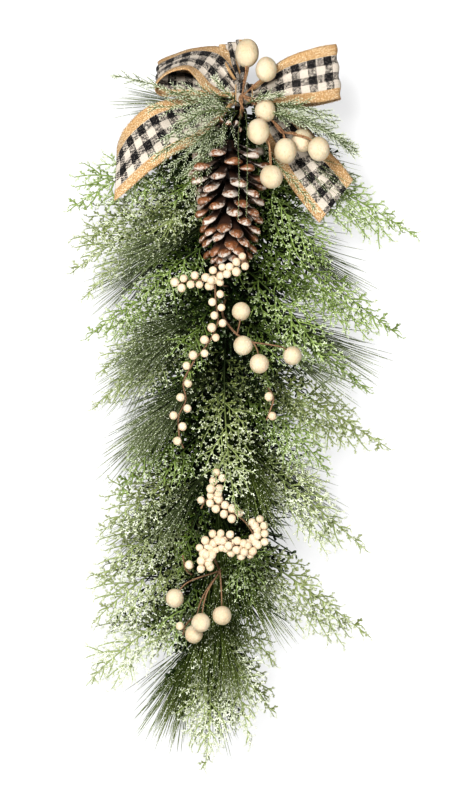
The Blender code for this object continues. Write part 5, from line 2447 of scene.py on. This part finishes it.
# Pine before the stem: root height, its core's end, count, length and flatness
FRONT_NEEDLES = (
    ("needles_end_left", -562, (-48, -22, -610), 150, 92, 0.5),
    ("needles_end_right", -470, (12, -40, -520), 140, 92, 0.5),
    ("needles_front", -345, (18, -62, -412), 120, 92, 0.9),
    ("needles_front_low", -508, (-8, -58, -586), 190, 86, 0.9),
)

# Loose pine over the cedar: root height, its core's end, count and length
OVER_NEEDLES = (
    ("pine_over_left_1", -150, (-64, -52, -180), 114, 98),
    ("pine_over_left_2", -236, (-60, -52, -274), 252, 97),
    ("pine_over_left_3", -300, (-56, -48, -344), 240, 94),
    ("pine_over_left_4", -398, (-46, -40, -440), 78, 84),
    ("pine_over_right_1", -262, (66, -40, -300), 78, 88),
    ("pine_over_right_2", -60, (60, -44, -92), 66, 84),
    ("pine_over_low_1", -560, (-44, -34, -622), 102, 78),
    ("pine_over_low_2", -566, (-18, -36, -628), 96, 74),
    ("pine_over_low_3", -500, (-26, -50, -578), 132, 86),
    ("pine_over_low_4", -430, (-10, -40, -516), 102, 92),
)


def needle_sprays() -> list[NeedleSpray]:
    """The pine sprays, those that stand for a node along the part's own cores.

    Returns:
        The sprays.
    """
    sprays = []
    for name, side, root_z, (end_x, end_z), count, length in SIDE_NEEDLES:
        root_z *= MM
        start = Vector((stem_x(root_z) + side * stem_radius(root_z), STEM_Y, root_z))
        end = Vector((end_x * MM, STEM_Y + 2 * MM, end_z * MM))
        start.x += side * (TOUCH * 0.5 + CORE_RADIUS * abs((end - start).normalized().z))
        sprays.append(NeedleSpray(name, start, end, count, length * MM))
    for name, root_z, end, count, length, flat in FRONT_NEEDLES:
        start, end = stem_front(root_z * MM) - Vector((0, CORE_RADIUS, 0)), Vector(end) * MM
        sprays.append(NeedleSpray(name, start, end, count, length * MM, flat=flat, green=Green.NEEDLE))
    for name, root_z, end, count, length in OVER_NEEDLES:
        start, end = stem_front(root_z * MM), Vector(end) * MM
        green = Green.NEEDLE if "low" in name else Green.GREY_NEEDLE
        sprays.append(NeedleSpray(name, start, end, count, length * MM, 0.26, 0.35, True, green))
    return sprays


BERRY_PICKS = (
    BerryPick(
        "berry_pick_top",
        -56,
        ((8, -34, -57), (9, -62, -57), (10, -77, -50), (10, -79, -38), (30, -84, -52), (50, -84, -74)),
        (
            ((15, -74, 5), 11.8, 1.22, 3),
            ((34, -85, -12), 10.6, 1.18, 3),
            ((33, -87, -53), 10.4, 1.1, 3),
            ((26, -96, -74), 11.2, 1.16, 4),
            ((53, -90, -93), 11.2, 1.14, 5),
            ((70, -77, -82), 10.8, 1.08, 5),
            ((86, -91, -91), 11.0, 1.1, 5),
            ((39, -99, -119), 11.6, 1.02, 4),
        ),
        True,
    ),
    BerryPick(
        "berry_pick_middle",
        -236,
        ((-6, -36, -238), (-9, -72, -256), (5, -88, -275), (21, -94, -283)),
        (
            ((9, -84, -252), 9.3, 1.0, 2),
            ((11, -92, -286), 9.8, 1.0, 2),
            ((27, -98, -304), 9.7, 1.0, 3),
            ((60, -92, -296), 9.2, 1.04, 3),
        ),
    ),
    BerryPick(
        "berry_pick_low",
        -496,
        ((-18, -36, -498), (-12, -68, -510)),
        (
            ((-57, -76, -537), 9.1, 1.06, 1),
            ((-31, -84, -561), 9.5, 1.0, 1),
            ((-38, -68, -573), 9.2, 1.0, 1),
            ((-10, -80, -554), 9.6, 1.0, 1),
        ),
    ),
)

BERRY_SPRAYS = (
    BerrySpray(
        "berry_spray_upper",
        -226,
        (
            (((-10, -60, -226), (-17, -92, -225)), 0),
            (((-17, -92, -225), (-14, -98, -214), (0, -101, -211), (14, -101, -200)), 12),
            (((-17, -92, -225), (-36, -92, -221), (-57, -88, -226)), 9),
            (((-17, -92, -225), (-16, -92, -244), (-14, -90, -262), (-22, -88, -281), (-37, -86, -300)), 11),
            (((-37, -86, -300), (-48, -84, -322), (-46, -82, -340), (-53, -78, -356), (-53, -76, -370)), 6),
            (((-53, -76, -368), (-52, -78, -378), (-48, -78, -388)), 1),
            (((36, -86, -328), (41, -93, -338), (38, -95, -350), (34, -96, -360)), 2),
        ),
        11,
    ),
    BerrySpray(
        "berry_spray_low",
        -428,
        (
            (((-14, -52, -430), (-16, -80, -436)), 0),
            (((-18, -84, -438), (-17, -90, -428), (-11, -92, -412)), 8),
            (((-16, -80, -436), (0, -92, -450), (14, -94, -462), (24, -92, -478)), 0),
            (((-20, -86, -438), (-8, -90, -448), (6, -90, -456)), 8),
            (((22, -88, -458), (29, -90, -468), (27, -90, -484)), 9),
            (
                (
                    (24, -88, -478), (17, -92, -487), (5, -94, -484), (-9, -92, -475), (-22, -90, -479),
                    (-30, -88, -493),
                ),
                20,
            ),
            (
                (
                    (20, -84, -488), (8, -88, -491), (-6, -88, -482), (-19, -87, -486), (-27, -86, -498),
                    (-26, -84, -508),
                ),
                20,
            ),
            (((-18, -78, -436), (-26, -80, -440), (-31, -80, -448)), 1),
            (((-40, -62, -514), (-46, -74, -508), (-49, -80, -494)), 1),
            (((-40, -62, -558), (-46, -70, -564), (-49, -74, -574)), 1),
        ),
        12,
    ),
)

FERNS = (
    Fern(
        "fern_left",
        ((6, -18, -60), (-12, -50, -69), (-28, -80, -78), (-48, -92, -80), (-76, -94, -100)),
        26,
        "sprig_left",
    ),
    Fern(
        "fern_right",
        ((7, -18, -71), (26, -40, -84), (38, -72, -98), (60, -82, -122), (84, -84, -152)),
        13,
        "sprig_right",
    ),
    Fern(
        "fern_left_long",
        ((2, -52, -44), (-14, -74, -46), (-42, -82, -40), (-80, -80, -26), (-118, -74, -17)), 20,
    ),
    Fern("fern_left_low", ((0, -50, -62), (-14, -76, -72), (-28, -88, -90), (-44, -90, -116)), 28),
    Fern("fern_left_near", ((6, -66, -52), (-6, -88, -54), (-26, -96, -54), (-54, -96, -64)), 26),
    Fern("fern_left_high", ((0, -62, -40), (-16, -80, -38), (-38, -86, -34), (-62, -84, -36)), 22),
    Fern("fern_right_high", ((22, -62, -48), (44, -82, -48), (70, -84, -52), (104, -78, -66)), 24),
    Fern("fern_right_long", ((20, -60, -52), (46, -74, -58), (82, -76, -68), (124, -66, -90)), 22),
    Fern("fern_right_low", ((20, -56, -50), (52, -80, -56), (88, -82, -70), (122, -72, -96)), 20),
    Fern("fern_right_back", ((16, -30, -60), (50, -44, -66), (84, -46, -84), (122, -40, -120)), 26),
    Fern("fern_over_left_1", ((0, -66, -52), (-16, -88, -66), (-34, -94, -84), (-58, -92, -108)), 30),
    Fern("fern_over_left_2", ((2, -66, -50), (-14, -92, -52), (-38, -98, -60), (-66, -96, -82)), 28),
    Fern("fern_over_left_3", ((-2, -60, -58), (-20, -84, -84), (-32, -92, -108), (-38, -92, -138)), 28),
    Fern("fern_over_left_4", ((0, -66, -44), (-18, -88, -42), (-44, -92, -48), (-82, -88, -50)), 24),
    Fern("fern_over_left_5", ((4, -62, -54), (-6, -80, -72), (-14, -86, -88), (-26, -88, -108)), 26),
    Fern("fern_over_right_1", ((20, -66, -50), (42, -92, -56), (68, -98, -62), (104, -90, -80)), 22),
    Fern("fern_over_right_2", ((24, -60, -50), (54, -72, -58), (88, -70, -68), (118, -62, -86)), 22),
    Fern("fern_knot_left", ((8, -70, -46), (0, -90, -40), (-10, -96, -30), (-18, -92, -20)), 10, pitch=3.0),
    Fern("fern_knot_right", ((14, -72, -46), (22, -92, -43), (34, -96, -38), (50, -90, -38)), 12, pitch=3.0),
    Fern("fern_over_right_3", ((24, -58, -44), (46, -84, -46), (72, -88, -50), (98, -84, -58)), 20),
    Fern(
        "strand_left",
        ((10, -70, -50), (8, -96, -60), (6, -106, -84), (7, -108, -120), (6, -108, -162)),
        2,
        leaf_mm=2.0,
    ),
    Fern(
        "strand_right",
        ((12, -70, -50), (14, -100, -62), (15, -110, -90), (15, -110, -130), (14, -108, -158)),
        2,
        leaf_mm=2.0,
    ),
)


def main() -> None:
    """Builds the dressed swag and its stage."""
    logging.basicConfig(level=logging.INFO, format="%(message)s")
    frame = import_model()
    shop = Workshop(frame["nodes"])
    Studio().build(shop.palette)
    Stem().build(shop, frame["nodes"])
    Bow().build(shop)
    Cone().build(shop)
    for pick in BERRY_PICKS:
        pick.build(shop)
    for spray in BERRY_SPRAYS:
        spray.build(shop)
    for fern in FERNS:
        fern.build(shop)
    InnerMass().build(shop)
    InnerNeedles().build(shop)
    for spray in (*CEDAR_SPRAYS, *EXTRA_SPRAYS, *inner_sprays()):
        spray.build(shop)
    for spray in needle_sprays():
        spray.build(shop)
    shop.clear_away()


if __name__ == "__main__":
    main()
